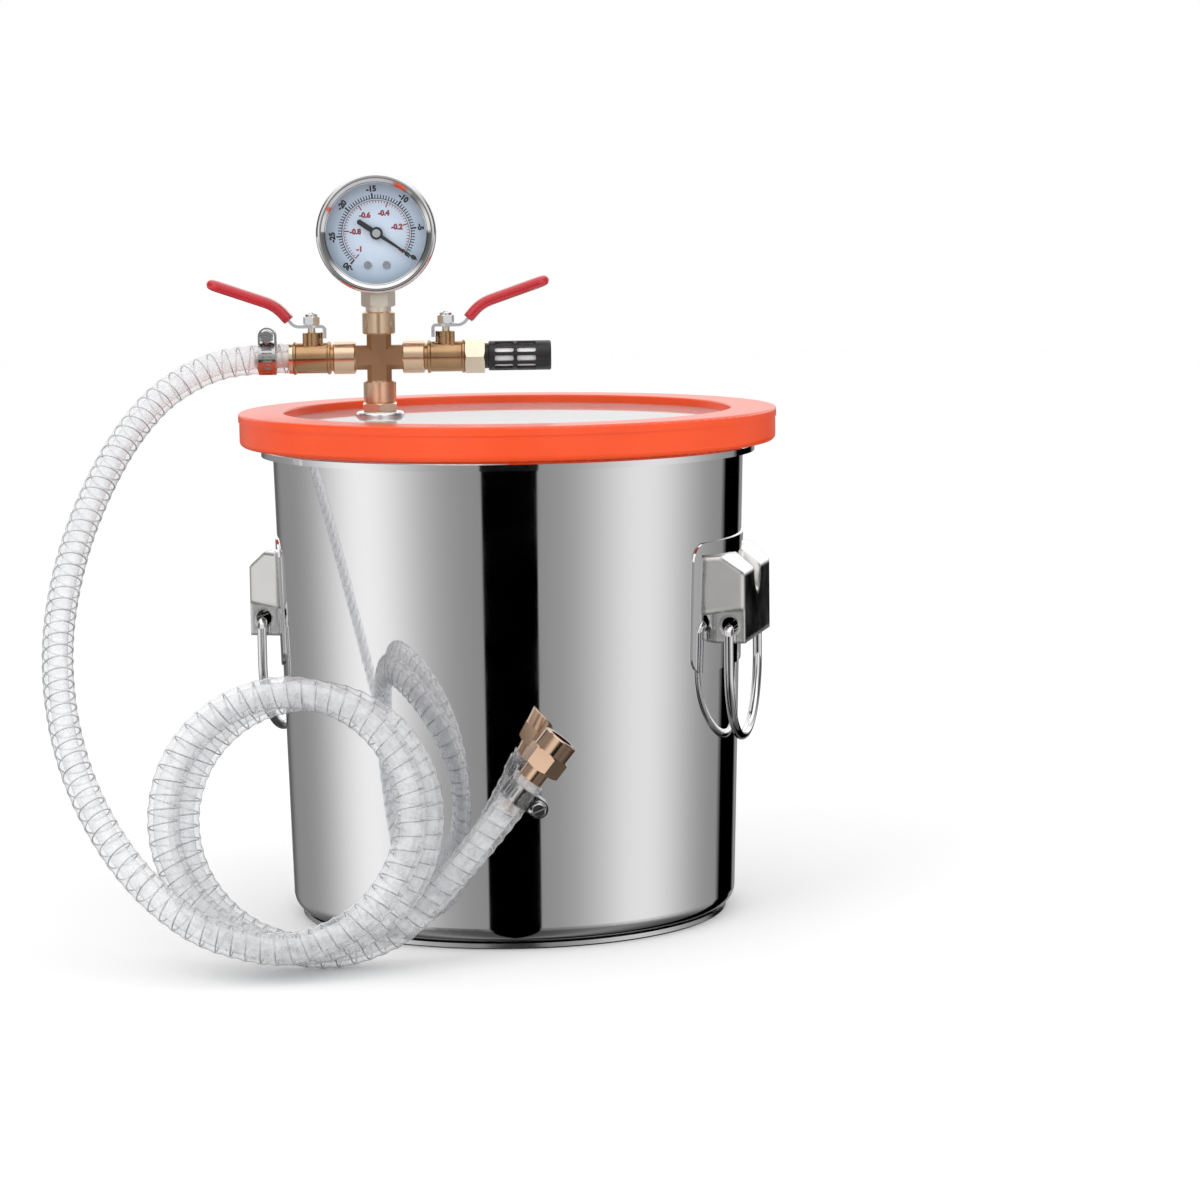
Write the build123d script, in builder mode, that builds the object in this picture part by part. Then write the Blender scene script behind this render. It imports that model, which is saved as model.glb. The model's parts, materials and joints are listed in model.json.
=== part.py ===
"""Vacuum degassing chamber: stainless pot, gasketed clear lid, gauge manifold and wire-wound hose.

Frame: origin on the floor under the middle of the pot, X to the right of the gauge's face,
Y from the gauge's face towards its back, Z up. Millimetres.
"""

from math import acos, cos, degrees, pi, radians, sin, sqrt, tan
import os

from build123d import *

os.makedirs("parts", exist_ok=True)

# ---------------------------------------------------------------- driving dimensions

# pot: drawn sheet, slightly wider at the mouth, with a turned-down rim
pot_bore = 250.0            # inside diameter at the mouth
pot_height = 253.0          # floor to the top of the rim
pot_sheet = 1.0
pot_taper = 0.027           # radius gained for each millimetre of height
pot_corner = 9.0            # outside radius between wall and bottom
rim_reach = 6.1             # how far the rim stands out from the wall
rim_drop = 5.4
rim_round = 2.2
base_disc_inset = 4.5       # in from the foot of the wall
base_disc_thickness = 3.0
base_disc_bevel = 0.8

# lid: clear disc held in a C-section silicone ring
ring_overhang = 18.85       # ring beyond the pot's bore, on the radius
ring_inset = 5.5            # ring inside the pot's bore, on the radius
ring_height = 17.6
ring_top_lip = 4.4
ring_step = 0.5             # the side is a little narrower below its parting line
ring_step_drop = 4.5
lid_thickness = 10.0
lid_groove_depth = 18.4     # how deep the disc sits in the ring
lid_bevel = 0.6

# manifold position on the lid
manifold_x = -68.8
manifold_y = 20.0

# pipe threads are left plain
thread_diameter = 12.9
thread_gap = 0.05           # radial room between male and female
thread_length = 9.0
port_bore = 6.0

# fitting through the lid and its sealing stack
lid_fitting_hex = 18.0
lid_fitting_hex_height = 4.5
lid_hole_gap = 0.55
washer_hole_gap = 0.3
cup_washer_diameter = 26.2
cup_washer_height = 2.7
cup_washer_sheet = 1.1
cup_washer_round = 1.9
seal_diameter = 21.0
under_seal_thickness = 2.0
under_washer_diameter = 24.0
under_washer_thickness = 1.5
under_nut_hex = 17.0
under_nut_height = 5.0
under_thread_end = 1.5      # thread standing out below the nut

# cross
cross_arm = 24.6            # centre to the face of each socket
cross_socket_wall = 2.35
cross_socket_length = 12.0
cross_bar = 13.0            # across the flats of the cast middle
cross_bar_bevel = 2.6

# ball valves, measured outwards from the cross
valve_gap = 1.4             # neck showing between socket and valve
valve_length = 20.4
valve_diameter = 16.5
valve_collar_diameter = 17.9
valve_collar_width = 2.0
valve_neck_wall = 0.75
ball_diameter = 9.4
ball_bore = 5.0
ball_slot_width = 1.8
ball_slot_depth = 1.7
chamber_gap = 0.5           # room round the ball
seat_grip = 1.6             # how far a seat laps over the ball
seat_back = 0.7             # seat beyond the ball
moving_gap = 0.08           # running room of ball and stem
stem_diameter = 4.0
stem_shoulder_diameter = 6.0
stem_shoulder_height = 1.0
stem_flats = 3.0
turret_diameter = 9.4
turret_top = 13.6           # above the pipe's centre line
stem_seal_diameter = 6.4
stem_seal_height = 2.0
stem_seal_drop = 3.0
lug_diameter = 2.6
lug_radius = 5.6            # from the stem's centre
lug_foot = 5.6
lug_angles = (-53.0, 143.0)

# levers
lever_level = 16.2          # underside of the lever above the centre line
lever_sheet = 1.7
lever_width = 9.4
lever_rise_start = 9.0
lever_rise_end = (19.0, 11.4)
lever_tip = (54.5, 23.6)
lever_bends = (1.8, 6.0, 9.0)
lever_tab_radius = 7.0
lever_tab_drop = 5.6
lever_tab_width = 5.0
grip_thickness = 5.2
grip_width = 11.4
grip_round = 2.2
grip_start = 0.3            # where along the rising part the grip begins
grip_overhang = 1.6
lever_nut_hex = 8.0
lever_nut_height = 4.4
lever_nut_collar = 6.6
lever_nut_collar_height = 1.6
stem_thread_diameter = 3.0

# open end of the right valve, with its muffler
end_hex = 18.0
end_hex_length = 10.6
muffler_diameter = 16.0
muffler_length = 33.8
muffler_wall = 1.6
muffler_neck_wall = 0.35
muffler_neck_length = 2.0
muffler_window_rows = 10
muffler_window_angle = -8.6
muffler_window_length = 10.1
muffler_window_width = 3.0
muffler_window_pitch = 12.0
muffler_window_start = 3.4
muffler_thread_length = 8.0
element_bore = 7.0

# hose and its barbs
hose_diameter = 16.3
hose_bore = 10.2
barb_length = 19.0
barb_bore = 5.6
barb_teeth = 4
barb_relief = 0.5
barb_collar_diameter = 16.8
barb_collar_width = 2.0

# worm-drive clamps
clamp_width = 9.2
clamp_sheet = 0.7
clamp_slots = 26
clamp_slot_width = 0.9
clamp_slot_length = 5.4
clamp_screw_diameter = 6.0
clamp_screw_gap = 0.2       # between the worm and the band
clamp_housing_width = 9.6
clamp_housing_wall = 0.8
clamp_housing_length = 9.0
clamp_neck_diameter = 4.4
clamp_head_hex = 7.0
clamp_head_height = 3.4
clamp_head_slot = 0.9
clamp_head_slot_depth = 1.4
clamp_offset = 7.2          # hose end to the near edge of the band

# gauge: heights from the gauge's centre, depths along Y from the stem's centre
gauge_hex = 16.0
gauge_hex_turn = 5.0
gauge_hex_height = 8.7
gauge_neck_wall = 0.45
gauge_neck_length = 2.6     # between the cross and the hexagon
bezel_cover = 1.3           # bezel outside the case, on the radius
bezel_frame = 3.9           # case's side to the edge of the window
bezel_front = -16.5
bezel_width = 6.8
bezel_land = 1.5            # case's side to where the front face starts to slope in
bezel_lip = -14.8
bezel_round = 1.8
case_diameter = 61.6
case_gap = 0.1
case_back = 13.0
case_sheet = 0.9
case_round = 3.0
lens_front = -14.0
lens_thickness = 2.0
lens_gap = 0.2
spacer_sheet = 1.5
dial_front = -5.0
dial_thickness = 0.8
dial_hole = 5.0
needle_back = -7.0
needle_thickness = 0.6
needle_angle = -34.0        # at atmospheric pressure, above the X axis
needle_tip_reach = 26.0
needle_tip_width = 0.5
needle_root_width = 2.2
needle_tail_reach = 12.2
needle_tail_width = 2.8
needle_hub_diameter = 6.8
needle_hub_height = 1.6
arbor_cap_diameter = 4.4
arbor_cap_height = 0.5
arbor_diameter = 1.2
arbor_gap = 0.05
dial_screw_spread = 5.0
dial_screw_drop = 17.0
dial_screw_diameter = 2.0
dial_screw_head = 4.2
dial_screw_head_height = 0.9
dial_screw_slot = 0.7
dial_post_diameter = 4.0

# gauge movement
frame_front = -3.5
frame_back = 2.5
frame_sheet = 1.0
frame_width = 14.0
frame_top = 6.0
frame_bottom = -19.0
frame_pillar_diameter = 1.8
frame_pillar_place = (5.0, 3.6)
block_width = 9.0
block_top = -16.6
block_foot_depth = 7.4
block_foot_top = -19.6
gauge_bore = 3.0
gear_module = 0.3
pinion_teeth = 10
pinion_width = 2.2
gear_ratio = 8
gear_middle = 0.0
sector_width = 1.2
sector_arc = (84.0, 129.0)
sector_fan_start = 9.6      # inner edge of the toothed rim
sector_hub_diameter = 3.4
sector_arbor_diameter = 1.6
tooth_fill = 0.40           # share of the pitch that a tooth takes
tooth_tip = 0.45            # tip width against root width
link_pin_reach = 5.0
link_pin_angle = 16.5
link_pin_diameter = 1.0
link_width = 1.8
link_sheet = 0.6
link_length = 10.5
link_gap = 0.1
bourdon_radius = 22.0
bourdon_depth = 7.0
bourdon_thickness = 2.6
bourdon_wall = 0.4
bourdon_root = 258.0        # angle of the end held in the block
bourdon_arc = 291.0

# handles: plate spot-welded to the wall, stamped bracket, hanging ring
handle_turn = 14.5          # the right handle is turned this far towards the gauge's face
plate_drop = 49.0           # mouth of the pot to the plate's top
plate_width = 110.0
plate_height = 68.0
plate_sheet = 1.0
plate_corner = 9.0
bracket_drop = 7.5          # plate's top to the bracket's top
bracket_width = 96.0
bracket_height = 46.0
bracket_shoulder = 30.0     # height of the wide upper part
bracket_waist = 73.0        # width of the lower part, between the cheeks
bracket_waist_rise = 2.0
bracket_reach = 11.2        # how far it stands out from the plate
bracket_top_slope = 9.0
bracket_side_slope = 11.0
bracket_sheet = 1.2
bracket_round = 3.5
groove_radius = 9.0         # hollow in the middle of the bracket's top
groove_foot = (3.2, 10.5)   # where its floor leaves the plate: out from it, down from the top
groove_end = 22.0           # where its floor leaves the face, down from the top
ring_rod = 5.0
ring_pin_stand = 3.1        # middle of the bar, out from the plate
ring_pin_rise = 8.0         # middle of the bar above the bracket's bottom
ring_width = 81.0           # between the centres of the legs
ring_drop = 61.5
ring_gap = 0.3              # bar above the bottom of its hole
ring_hole_diameter = 8.6
ring_bar_bend = 3.6

# hose route: falls from the upper barb, two upright turns, and a tail with the end fitting
coil_centre = (-117.0, -171.0, 80.0)
coil_radius = 64.8
coil_lean = 14.0            # degrees back from upright
coil_pitch = (8.5, 16.6, -4.2)
coil_turns = 2
coil_round = 3.0
coil_floor_gap = 0.2
drop_route = (
    (-145.0, 20.0, 298.0),
    (-167.5, 15.0, 291.0),
    (-190.0, 4.0, 276.5),
    (-211.0, -24.0, 247.0),
    (-228.0, -63.0, 203.0),
    (-233.0, -107.0, 154.0),
    (-221.0, -149.0, 104.0),
    (-194.0, -178.0, 60.0),
    (-160.0, -190.0, 30.0),
    (-128.0, -188.0, 18.5),
)
tail_route = (
    (-112.0, -152.0, 9.2),
    (-78.0, -152.0, 9.2),
    (-44.0, -152.0, 27.0),
)
tail_clamp_place = (3.0, -152.0, 87.4)
tail_clamp_offset = 4.4     # band to the end of the hose
end_hex_flats = 19.0
end_hex_height = 10.0
end_socket_diameter = 19.0
end_socket_length = 9.0
end_socket_bore = 11.8
end_neck_diameter = 13.0
end_neck_length = 7.0


# ---------------------------------------------------------------- derived places

def wall_radius(height):
    """Outside radius of the pot's wall at a height."""
    return pot_bore / 2 + pot_sheet - pot_taper * (pot_height - height)


plate_top = pot_height - plate_drop
bracket_top = plate_top - bracket_drop
bracket_bottom = bracket_top - bracket_height
ring_pin_height = bracket_bottom + ring_pin_rise
ring_pin_radius = wall_radius(ring_pin_height) + plate_sheet + ring_pin_stand
ring_opening = pot_bore - 2 * ring_inset
ring_diameter = pot_bore + 2 * ring_overhang
ring_top = pot_height + ring_height
lid_top = ring_top - ring_top_lip
lid_bottom = lid_top - lid_thickness
lid_radius = ring_opening / 2 + lid_groove_depth
lid_hex_bottom = lid_top + cup_washer_height
cross_height = lid_hex_bottom + lid_fitting_hex_height + cross_arm
gauge_rise = cross_arm + gauge_neck_length + gauge_hex_height + case_diameter / 2
manifold = Location((manifold_x, manifold_y, cross_height))
gauge = Location((manifold_x, manifold_y, cross_height + gauge_rise))
male_radius = thread_diameter / 2 - thread_gap
female_radius = thread_diameter / 2
valve_start = cross_arm + valve_gap
valve_middle = valve_start + valve_length / 2
valve_end = valve_start + valve_length
ball_radius = ball_diameter / 2
chamber_radius = ball_radius + chamber_gap
seat_near = ball_radius - seat_grip
seat_far = ball_radius + seat_back
hose_radius = hose_diameter / 2
hose_start = valve_end + barb_collar_width
clamp_middle = clamp_offset + clamp_width / 2


def save(part, name):
    """Label a finished piece and write it."""
    part.label = name
    export_step(part, f"parts/{name}.step")


def corner(section, x, y):
    """The corner of a section nearest to a point."""
    return section.vertices().sort_by_distance((x, y))[0]


def hexagon(flats, height, bevel, turn=0.0):
    """Hexagonal prism standing on XY, its corners turned off at both ends."""
    reach = flats / 2 / cos(pi / 6)
    with BuildPart() as prism:
        with BuildSketch():
            RegularPolygon(flats / 2, 6, major_radius=False, rotation=turn)
        extrude(amount=height)
        with BuildSketch(Plane.XZ):
            with BuildLine():
                Polyline(
                    (0, 0),
                    (reach - 1.7 * bevel, 0),
                    (reach, bevel),
                    (reach, height - bevel),
                    (reach - 1.7 * bevel, height),
                    (0, height),
                    close=True,
                )
            make_face()
        revolve(axis=Axis.Z, mode=Mode.INTERSECT)
    return prism.part


def sleeve(outer, inner, low, high):
    """Round sleeve on the Z axis between two heights; a rod where inner is 0."""
    with BuildPart() as piece:
        with BuildSketch(Plane.XY.offset(low)):
            Circle(outer)
            if inner > 0:
                Circle(inner, mode=Mode.SUBTRACT)
        extrude(amount=high - low)
    return piece.part


# ---------------------------------------------------------------- pot

def pot_form(inset):
    """Closed form of the pot, drawn in by inset: side, bottom and corner."""
    low = base_disc_thickness + inset
    with BuildPart() as form:
        with BuildSketch(Plane.XZ) as section:
            with BuildLine():
                Polyline(
                    (0, low),
                    (wall_radius(low) - inset, low),
                    (wall_radius(pot_height) - inset, pot_height),
                    (0, pot_height),
                    close=True,
                )
            make_face()
            fillet(corner(section, wall_radius(low), low), radius=pot_corner - inset)
        revolve(axis=Axis.Z)
    return form.part


with BuildPart() as pot:
    add(pot_form(0))
    with BuildSketch(Plane.XZ) as rim:
        with Locations((wall_radius(pot_height) - pot_sheet, pot_height)):
            Rectangle(rim_reach + pot_sheet, rim_drop, align=(Align.MIN, Align.MAX))
        fillet(corner(rim, pot_bore, pot_height), radius=rim_round)
        with Locations((wall_radius(pot_height - rim_drop), pot_height - pot_sheet)):
            Rectangle(
                rim_reach - pot_sheet,
                rim_drop,
                align=(Align.MIN, Align.MAX),
                mode=Mode.SUBTRACT,
            )
    revolve(axis=Axis.Z)
    add(pot_form(pot_sheet), mode=Mode.SUBTRACT)
save(pot.part, "pot")

with BuildPart() as base_disc:
    Cylinder(
        wall_radius(base_disc_thickness) - base_disc_inset,
        base_disc_thickness,
        align=(Align.CENTER, Align.CENTER, Align.MIN),
    )
    chamfer(base_disc.edges().group_by(Axis.Z)[0], length=base_disc_bevel)
save(base_disc.part, "base_disc")


# ---------------------------------------------------------------- handles

# built on the +X side of the pot, then turned to each side

def wall_shell(inner, outer, low, high):
    """Ring that follows the wall between two offsets from it."""
    with BuildPart() as shell:
        with BuildSketch(Plane.XZ):
            with BuildLine():
                Polyline(
                    (wall_radius(low) + inner, low),
                    (wall_radius(low) + outer, low),
                    (wall_radius(high) + outer, high),
                    (wall_radius(high) + inner, high),
                    close=True,
                )
            make_face()
        revolve(axis=Axis.Z)
    return shell.part


def hump_form(inset):
    """Outer form of the stamped bracket, drawn in by inset: side, plan and front views crossed."""
    back = wall_radius(bracket_bottom) + plate_sheet
    face = back + bracket_reach - inset
    top = bracket_top - inset
    bottom = bracket_bottom + inset
    shoulder = bracket_top - bracket_shoulder + inset
    half = bracket_width / 2 - inset
    waist = bracket_waist / 2 - inset
    foot = back + groove_foot[0] - inset
    floor = Vector(foot, bracket_top - groove_foot[1])
    way = (Vector(face, bracket_top - groove_end) - floor).normalized()
    middle = floor + Vector(-way.Y, way.X) * groove_radius
    with BuildPart() as form:
        with BuildSketch(Plane.XZ) as side:
            with BuildLine():
                Polyline(
                    (back - 30, bottom),
                    (face, bottom),
                    (face, top - bracket_top_slope),
                    (back, top),
                    (back - 30, top),
                    close=True,
                )
            make_face()
            fillet(corner(side, face, top - bracket_top_slope), radius=bracket_round)
        extrude(amount=half + 5, both=True)
        with BuildSketch(Plane.XY.offset(bottom - 10)) as plan:
            with BuildLine():
                Polyline(
                    (back - 40, -half),
                    (back - 8, -half),
                    (face, -half + bracket_side_slope),
                    (face, half - bracket_side_slope),
                    (back - 8, half),
                    (back - 40, half),
                    close=True,
                )
            make_face()
            fillet(corner(plan, face, half - bracket_side_slope), radius=bracket_round)
            fillet(corner(plan, face, bracket_side_slope - half), radius=bracket_round)
        extrude(amount=top - bottom + 20, mode=Mode.INTERSECT)
        with BuildSketch(Plane.YZ) as front:
            with BuildLine():
                Polyline(
                    (-half, top),
                    (-half, shoulder),
                    (-waist, shoulder + bracket_waist_rise),
                    (-waist, bottom),
                    (waist, bottom),
                    (waist, shoulder + bracket_waist_rise),
                    (half, shoulder),
                    (half, top),
                    close=True,
                )
            make_face()
        extrude(amount=face + 5, mode=Mode.INTERSECT)
        with BuildSketch(Plane((middle.X, 0, middle.Y), z_dir=(way.X, 0, way.Y))):
            Circle(groove_radius + inset)
        extrude(amount=60, both=True, mode=Mode.SUBTRACT)
    return form.part


with BuildPart() as handle_plate:
    add(wall_shell(0, plate_sheet, plate_top - plate_height, plate_top))
    with BuildSketch(Plane.YZ) as outline:
        with Locations((0, plate_top - plate_height / 2)):
            RectangleRounded(plate_width, plate_height, plate_corner)
    extrude(amount=pot_bore, mode=Mode.INTERSECT)

with BuildPart() as handle_bracket:
    add(hump_form(0))
    add(hump_form(bracket_sheet), mode=Mode.SUBTRACT)
    add(
        wall_shell(-60, plate_sheet, bracket_bottom - 20, bracket_top + 20),
        mode=Mode.SUBTRACT,
    )
    hole_rise = ring_hole_diameter / 2 - ring_rod / 2 - ring_gap
    with BuildSketch(Plane.XZ):
        with Locations((ring_pin_radius, ring_pin_height + hole_rise)):
            Circle(ring_hole_diameter / 2)
    extrude(amount=bracket_width, both=True, mode=Mode.SUBTRACT)

with BuildPart() as handle_ring:
    half = ring_width / 2
    low = ring_pin_height - ring_drop
    with BuildLine():
        FilletPolyline(
            (ring_pin_radius, 0, ring_pin_height),
            (ring_pin_radius, half, ring_pin_height),
            (ring_pin_radius, half, low),
            (ring_pin_radius, 0, low),
            radius=(ring_bar_bend, half - 0.5),
        )
    with BuildSketch(Plane((ring_pin_radius, 0, ring_pin_height), z_dir=(0, 1, 0))):
        Circle(ring_rod / 2)
    sweep()
    mirror(about=Plane.XZ)

for side, turn in (("right", -handle_turn), ("left", 180 - handle_turn)):
    pose = Location((0, 0, 0), (0, 0, turn))
    save(handle_plate.part.moved(pose), f"{side}_handle_plate")
    save(handle_bracket.part.moved(pose), f"{side}_handle_bracket")
    save(handle_ring.part.moved(pose), f"{side}_handle_ring")


# ---------------------------------------------------------------- lid

with BuildPart() as lid_gasket:
    inner = ring_opening / 2
    outer = ring_diameter / 2
    step_level = ring_top - ring_step_drop
    with BuildSketch(Plane.XZ) as section:
        with BuildLine():
            Polyline(
                (inner, pot_height),
                (outer - ring_step, pot_height),
                (outer - ring_step, step_level),
                (outer, step_level),
                (outer, ring_top),
                (inner, ring_top),
                (inner, lid_top),
                (lid_radius, lid_top),
                (lid_radius, lid_bottom),
                (inner, lid_bottom),
                close=True,
            )
        make_face()
        fillet(corner(section, outer, ring_top), radius=1.2)
        fillet(corner(section, inner, ring_top), radius=1.2)
        fillet(corner(section, outer - ring_step, pot_height), radius=3.0)
        fillet(corner(section, inner, pot_height), radius=1.0)
    revolve(axis=Axis.Z)
save(lid_gasket.part, "lid_gasket")

with BuildPart() as lid_disc:
    with BuildSketch(Plane.XY.offset(lid_bottom)):
        Circle(lid_radius)
        with Locations((manifold_x, manifold_y)):
            Circle(female_radius + lid_hole_gap, mode=Mode.SUBTRACT)
    extrude(amount=lid_thickness)
    chamfer(lid_disc.edges().filter_by(GeomType.CIRCLE), length=lid_bevel)
save(lid_disc.part, "lid_disc")


# ---------------------------------------------------------------- fitting through the lid

# heights from the lid's upper face, on the manifold's axis
lid_seat = Location((manifold_x, manifold_y, lid_top))
washer_hole = male_radius + washer_hole_gap
under_seal_low = -lid_thickness - under_seal_thickness
under_washer_low = under_seal_low - under_washer_thickness
under_nut_low = under_washer_low - under_nut_height
seal_top = cup_washer_height - cup_washer_sheet

with BuildPart() as lid_washer:
    with BuildSketch(Plane.XZ) as section:
        Rectangle(
            cup_washer_diameter / 2, cup_washer_height, align=(Align.MIN, Align.MIN)
        )
        fillet(corner(section, cup_washer_diameter / 2, cup_washer_height), cup_washer_round)
        Rectangle(
            cup_washer_diameter / 2 - cup_washer_sheet,
            seal_top,
            align=(Align.MIN, Align.MIN),
            mode=Mode.SUBTRACT,
        )
        Rectangle(
            washer_hole, cup_washer_height, align=(Align.MIN, Align.MIN), mode=Mode.SUBTRACT
        )
    revolve(axis=Axis.Z)
save(lid_washer.part.moved(lid_seat), "lid_washer")

save(sleeve(seal_diameter / 2, washer_hole, 0, seal_top).moved(lid_seat), "lid_seal")
save(
    sleeve(seal_diameter / 2, washer_hole, under_seal_low, -lid_thickness).moved(lid_seat),
    "under_lid_seal",
)
save(
    sleeve(under_washer_diameter / 2, washer_hole, under_washer_low, under_seal_low).moved(lid_seat),
    "under_lid_washer",
)

with BuildPart() as under_lid_nut:
    add(hexagon(under_nut_hex, under_nut_height, 0.8).moved(Location((0, 0, under_nut_low))))
    Cylinder(female_radius, 100, mode=Mode.SUBTRACT)
save(under_lid_nut.part.moved(lid_seat), "under_lid_nut")

with BuildPart() as lid_fitting:
    hex_top = cup_washer_height + lid_fitting_hex_height
    add(
        hexagon(lid_fitting_hex, lid_fitting_hex_height, 0.7, turn=30)
        .moved(Location((0, 0, cup_washer_height)))
    )
    add(sleeve(male_radius, 0, under_nut_low - under_thread_end, hex_top + thread_length))
    chamfer(lid_fitting.faces().sort_by(Axis.Z)[0].edges(), length=0.8)
    chamfer(lid_fitting.faces().sort_by(Axis.Z)[-1].edges(), length=0.8)
    Cylinder(port_bore / 2, 100, mode=Mode.SUBTRACT)
save(lid_fitting.part.moved(lid_seat), "lid_fitting")


# ---------------------------------------------------------------- cross

socket_depth = thread_length + 1.0
bar_reach = cross_arm - cross_socket_length

with BuildPart() as cross:
    for plane in (Plane.XY, Plane.YZ):
        with BuildSketch(plane) as bar:
            Rectangle(cross_bar, cross_bar)
            chamfer(bar.vertices(), length=cross_bar_bevel)
        extrude(amount=bar_reach, both=True)
    for turn in range(4):
        arm = Plane.XY.rotated((0, 90 * turn, 0))
        with BuildSketch(arm.offset(bar_reach)):
            Circle(female_radius + cross_socket_wall)
        extrude(amount=cross_socket_length)
    chamfer(cross.edges().filter_by(GeomType.CIRCLE), length=0.7)
    for turn in range(4):
        arm = Plane.XY.rotated((0, 90 * turn, 0))
        with BuildSketch(arm.offset(cross_arm)):
            Circle(female_radius)
        extrude(amount=-socket_depth, mode=Mode.SUBTRACT)
        with BuildSketch(arm):
            Circle(port_bore / 2)
        extrude(amount=cross_arm, mode=Mode.SUBTRACT)
save(cross.part.moved(manifold), "cross")


# ---------------------------------------------------------------- ball valves

# both are built lying along +X from the cross; the left one is mirrored

valve_core = Location((valve_middle, 0, 0))
shoulder_low = ball_radius + chamber_gap - 0.2
shoulder_high = shoulder_low + stem_shoulder_height
lever_top = lever_level + lever_sheet
nut_top = lever_top + lever_nut_height + lever_nut_collar_height


def at_side(part, side):
    """A valve piece at its place on the cross."""
    if side == "left":
        part = part.mirror(Plane.YZ)
    return part.moved(manifold)


def round_bar(profile):
    """Solid of revolution about X from points (distance along X, radius)."""
    start = profile[0][0]
    end = profile[-1][0]
    with BuildPart() as bar:
        with BuildSketch(Plane.XZ):
            with BuildLine():
                Polyline((start, 0), *profile, (end, 0), close=True)
            make_face()
        revolve(axis=Axis.X)
    return bar.part


def barb_profile(start):
    """Saw-tooth outline of a hose barb that begins at a collar and points away from it."""
    pitch = barb_length / barb_teeth
    tip = hose_bore / 2
    points = []
    for tooth in range(barb_teeth):
        points.append((start + tooth * pitch, tip))
        points.append((start + (tooth + 1) * pitch, tip - barb_relief))
    return points


with BuildPart() as valve_body:
    collar = valve_collar_diameter / 2
    barrel = valve_diameter / 2
    neck = female_radius + valve_neck_wall
    add(
        round_bar(
            [
                (cross_arm - thread_length, male_radius),
                (cross_arm, male_radius),
                (cross_arm, neck),
                (valve_start, neck),
                (valve_start, collar - 0.5),
                (valve_start + 0.5, collar),
                (valve_start + valve_collar_width - 0.5, collar),
                (valve_start + valve_collar_width, barrel),
                (valve_end - valve_collar_width, barrel),
                (valve_end - valve_collar_width + 0.5, collar),
                (valve_end - 0.5, collar),
                (valve_end, collar - 0.5),
            ]
        )
    )
    add(sleeve(turret_diameter / 2, 0, 0, turret_top).moved(valve_core))
    for angle in lug_angles:
        reach = Vector(lug_radius, 0, 0).rotate(Axis.Z, angle)
        add(sleeve(lug_diameter / 2, 0, lug_foot, turret_top).moved(valve_core * Location(reach)))
    chamber_end = valve_middle - seat_far
    add(round_bar([(chamber_end, chamber_radius), (valve_end, chamber_radius)]), mode=Mode.SUBTRACT)
    add(round_bar([(0, port_bore / 2), (valve_end, port_bore / 2)]), mode=Mode.SUBTRACT)
    with Locations(valve_core):
        up = (Align.CENTER, Align.CENTER, Align.MIN)
        Cylinder(stem_diameter / 2 + moving_gap, turret_top, align=up, mode=Mode.SUBTRACT)
        Cylinder(
            stem_shoulder_diameter / 2 + moving_gap,
            shoulder_high + moving_gap,
            align=up,
            mode=Mode.SUBTRACT,
        )
    with Locations(valve_core * Location((0, 0, turret_top - stem_seal_drop))):
        Cylinder(stem_seal_diameter / 2, stem_seal_drop, align=up, mode=Mode.SUBTRACT)

with BuildPart() as valve_seats:
    with BuildSketch(Plane.XZ):
        for side in (-1, 1):
            middle = valve_middle + side * (seat_near + seat_far) / 2
            with Locations((middle, (chamber_radius + port_bore / 2) / 2)):
                Rectangle(seat_far - seat_near, chamber_radius - port_bore / 2)
        with Locations((valve_middle, 0)):
            Circle(ball_radius + moving_gap, mode=Mode.SUBTRACT)
    revolve(axis=Axis.X)

with BuildPart() as valve_ball:
    with Locations(valve_core):
        Sphere(ball_radius)
        Cylinder(ball_bore / 2, ball_diameter, rotation=(0, 90, 0), mode=Mode.SUBTRACT)
    with Locations(valve_core * Location((0, 0, ball_radius - ball_slot_depth))):
        Box(
            ball_slot_width,
            ball_diameter,
            ball_slot_depth,
            align=(Align.CENTER, Align.CENTER, Align.MIN),
            mode=Mode.SUBTRACT,
        )

with BuildPart() as valve_stem:
    tang_low = ball_radius - ball_slot_depth
    with BuildSketch(Plane.XY.offset(tang_low)):
        Rectangle(ball_slot_width, stem_diameter)
    extrude(amount=shoulder_low - tang_low)
    add(sleeve(stem_shoulder_diameter / 2, 0, shoulder_low, shoulder_high))
    add(sleeve(stem_diameter / 2, 0, shoulder_high, lever_level))
    with BuildSketch(Plane.XY.offset(lever_level)):
        Circle(stem_diameter / 2)
        Rectangle(stem_diameter, stem_flats, mode=Mode.INTERSECT)
    extrude(amount=lever_sheet)
    add(sleeve(stem_thread_diameter / 2, 0, lever_top, nut_top + 0.5))
    chamfer(valve_stem.faces().sort_by(Axis.Z)[-1].edges(), length=0.3)

valve_stem_seal = sleeve(
    stem_seal_diameter / 2,
    stem_diameter / 2 + moving_gap,
    turret_top - stem_seal_drop,
    turret_top - stem_seal_drop + stem_seal_height,
)

with BuildPart() as valve_lever_nut:
    add(hexagon(lever_nut_hex, lever_nut_height, 0.4, turn=15).moved(Location((0, 0, lever_top))))
    add(sleeve(lever_nut_collar / 2, 0, lever_top + lever_nut_height, nut_top))
    fillet(valve_lever_nut.faces().sort_by(Axis.Z)[-1].edges(), radius=0.6)
    Cylinder(stem_thread_diameter / 2, 100, mode=Mode.SUBTRACT)

# the lever lies along +X from the stem at rest
strap_middle = lever_level + lever_sheet / 2
rise_foot = Vector(lever_rise_start, strap_middle)
rise_head = Vector(lever_rise_end[0], strap_middle + lever_rise_end[1])
tip = Vector(lever_tip[0], strap_middle + lever_tip[1])
slope = (tip - rise_head).normalized()

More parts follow.
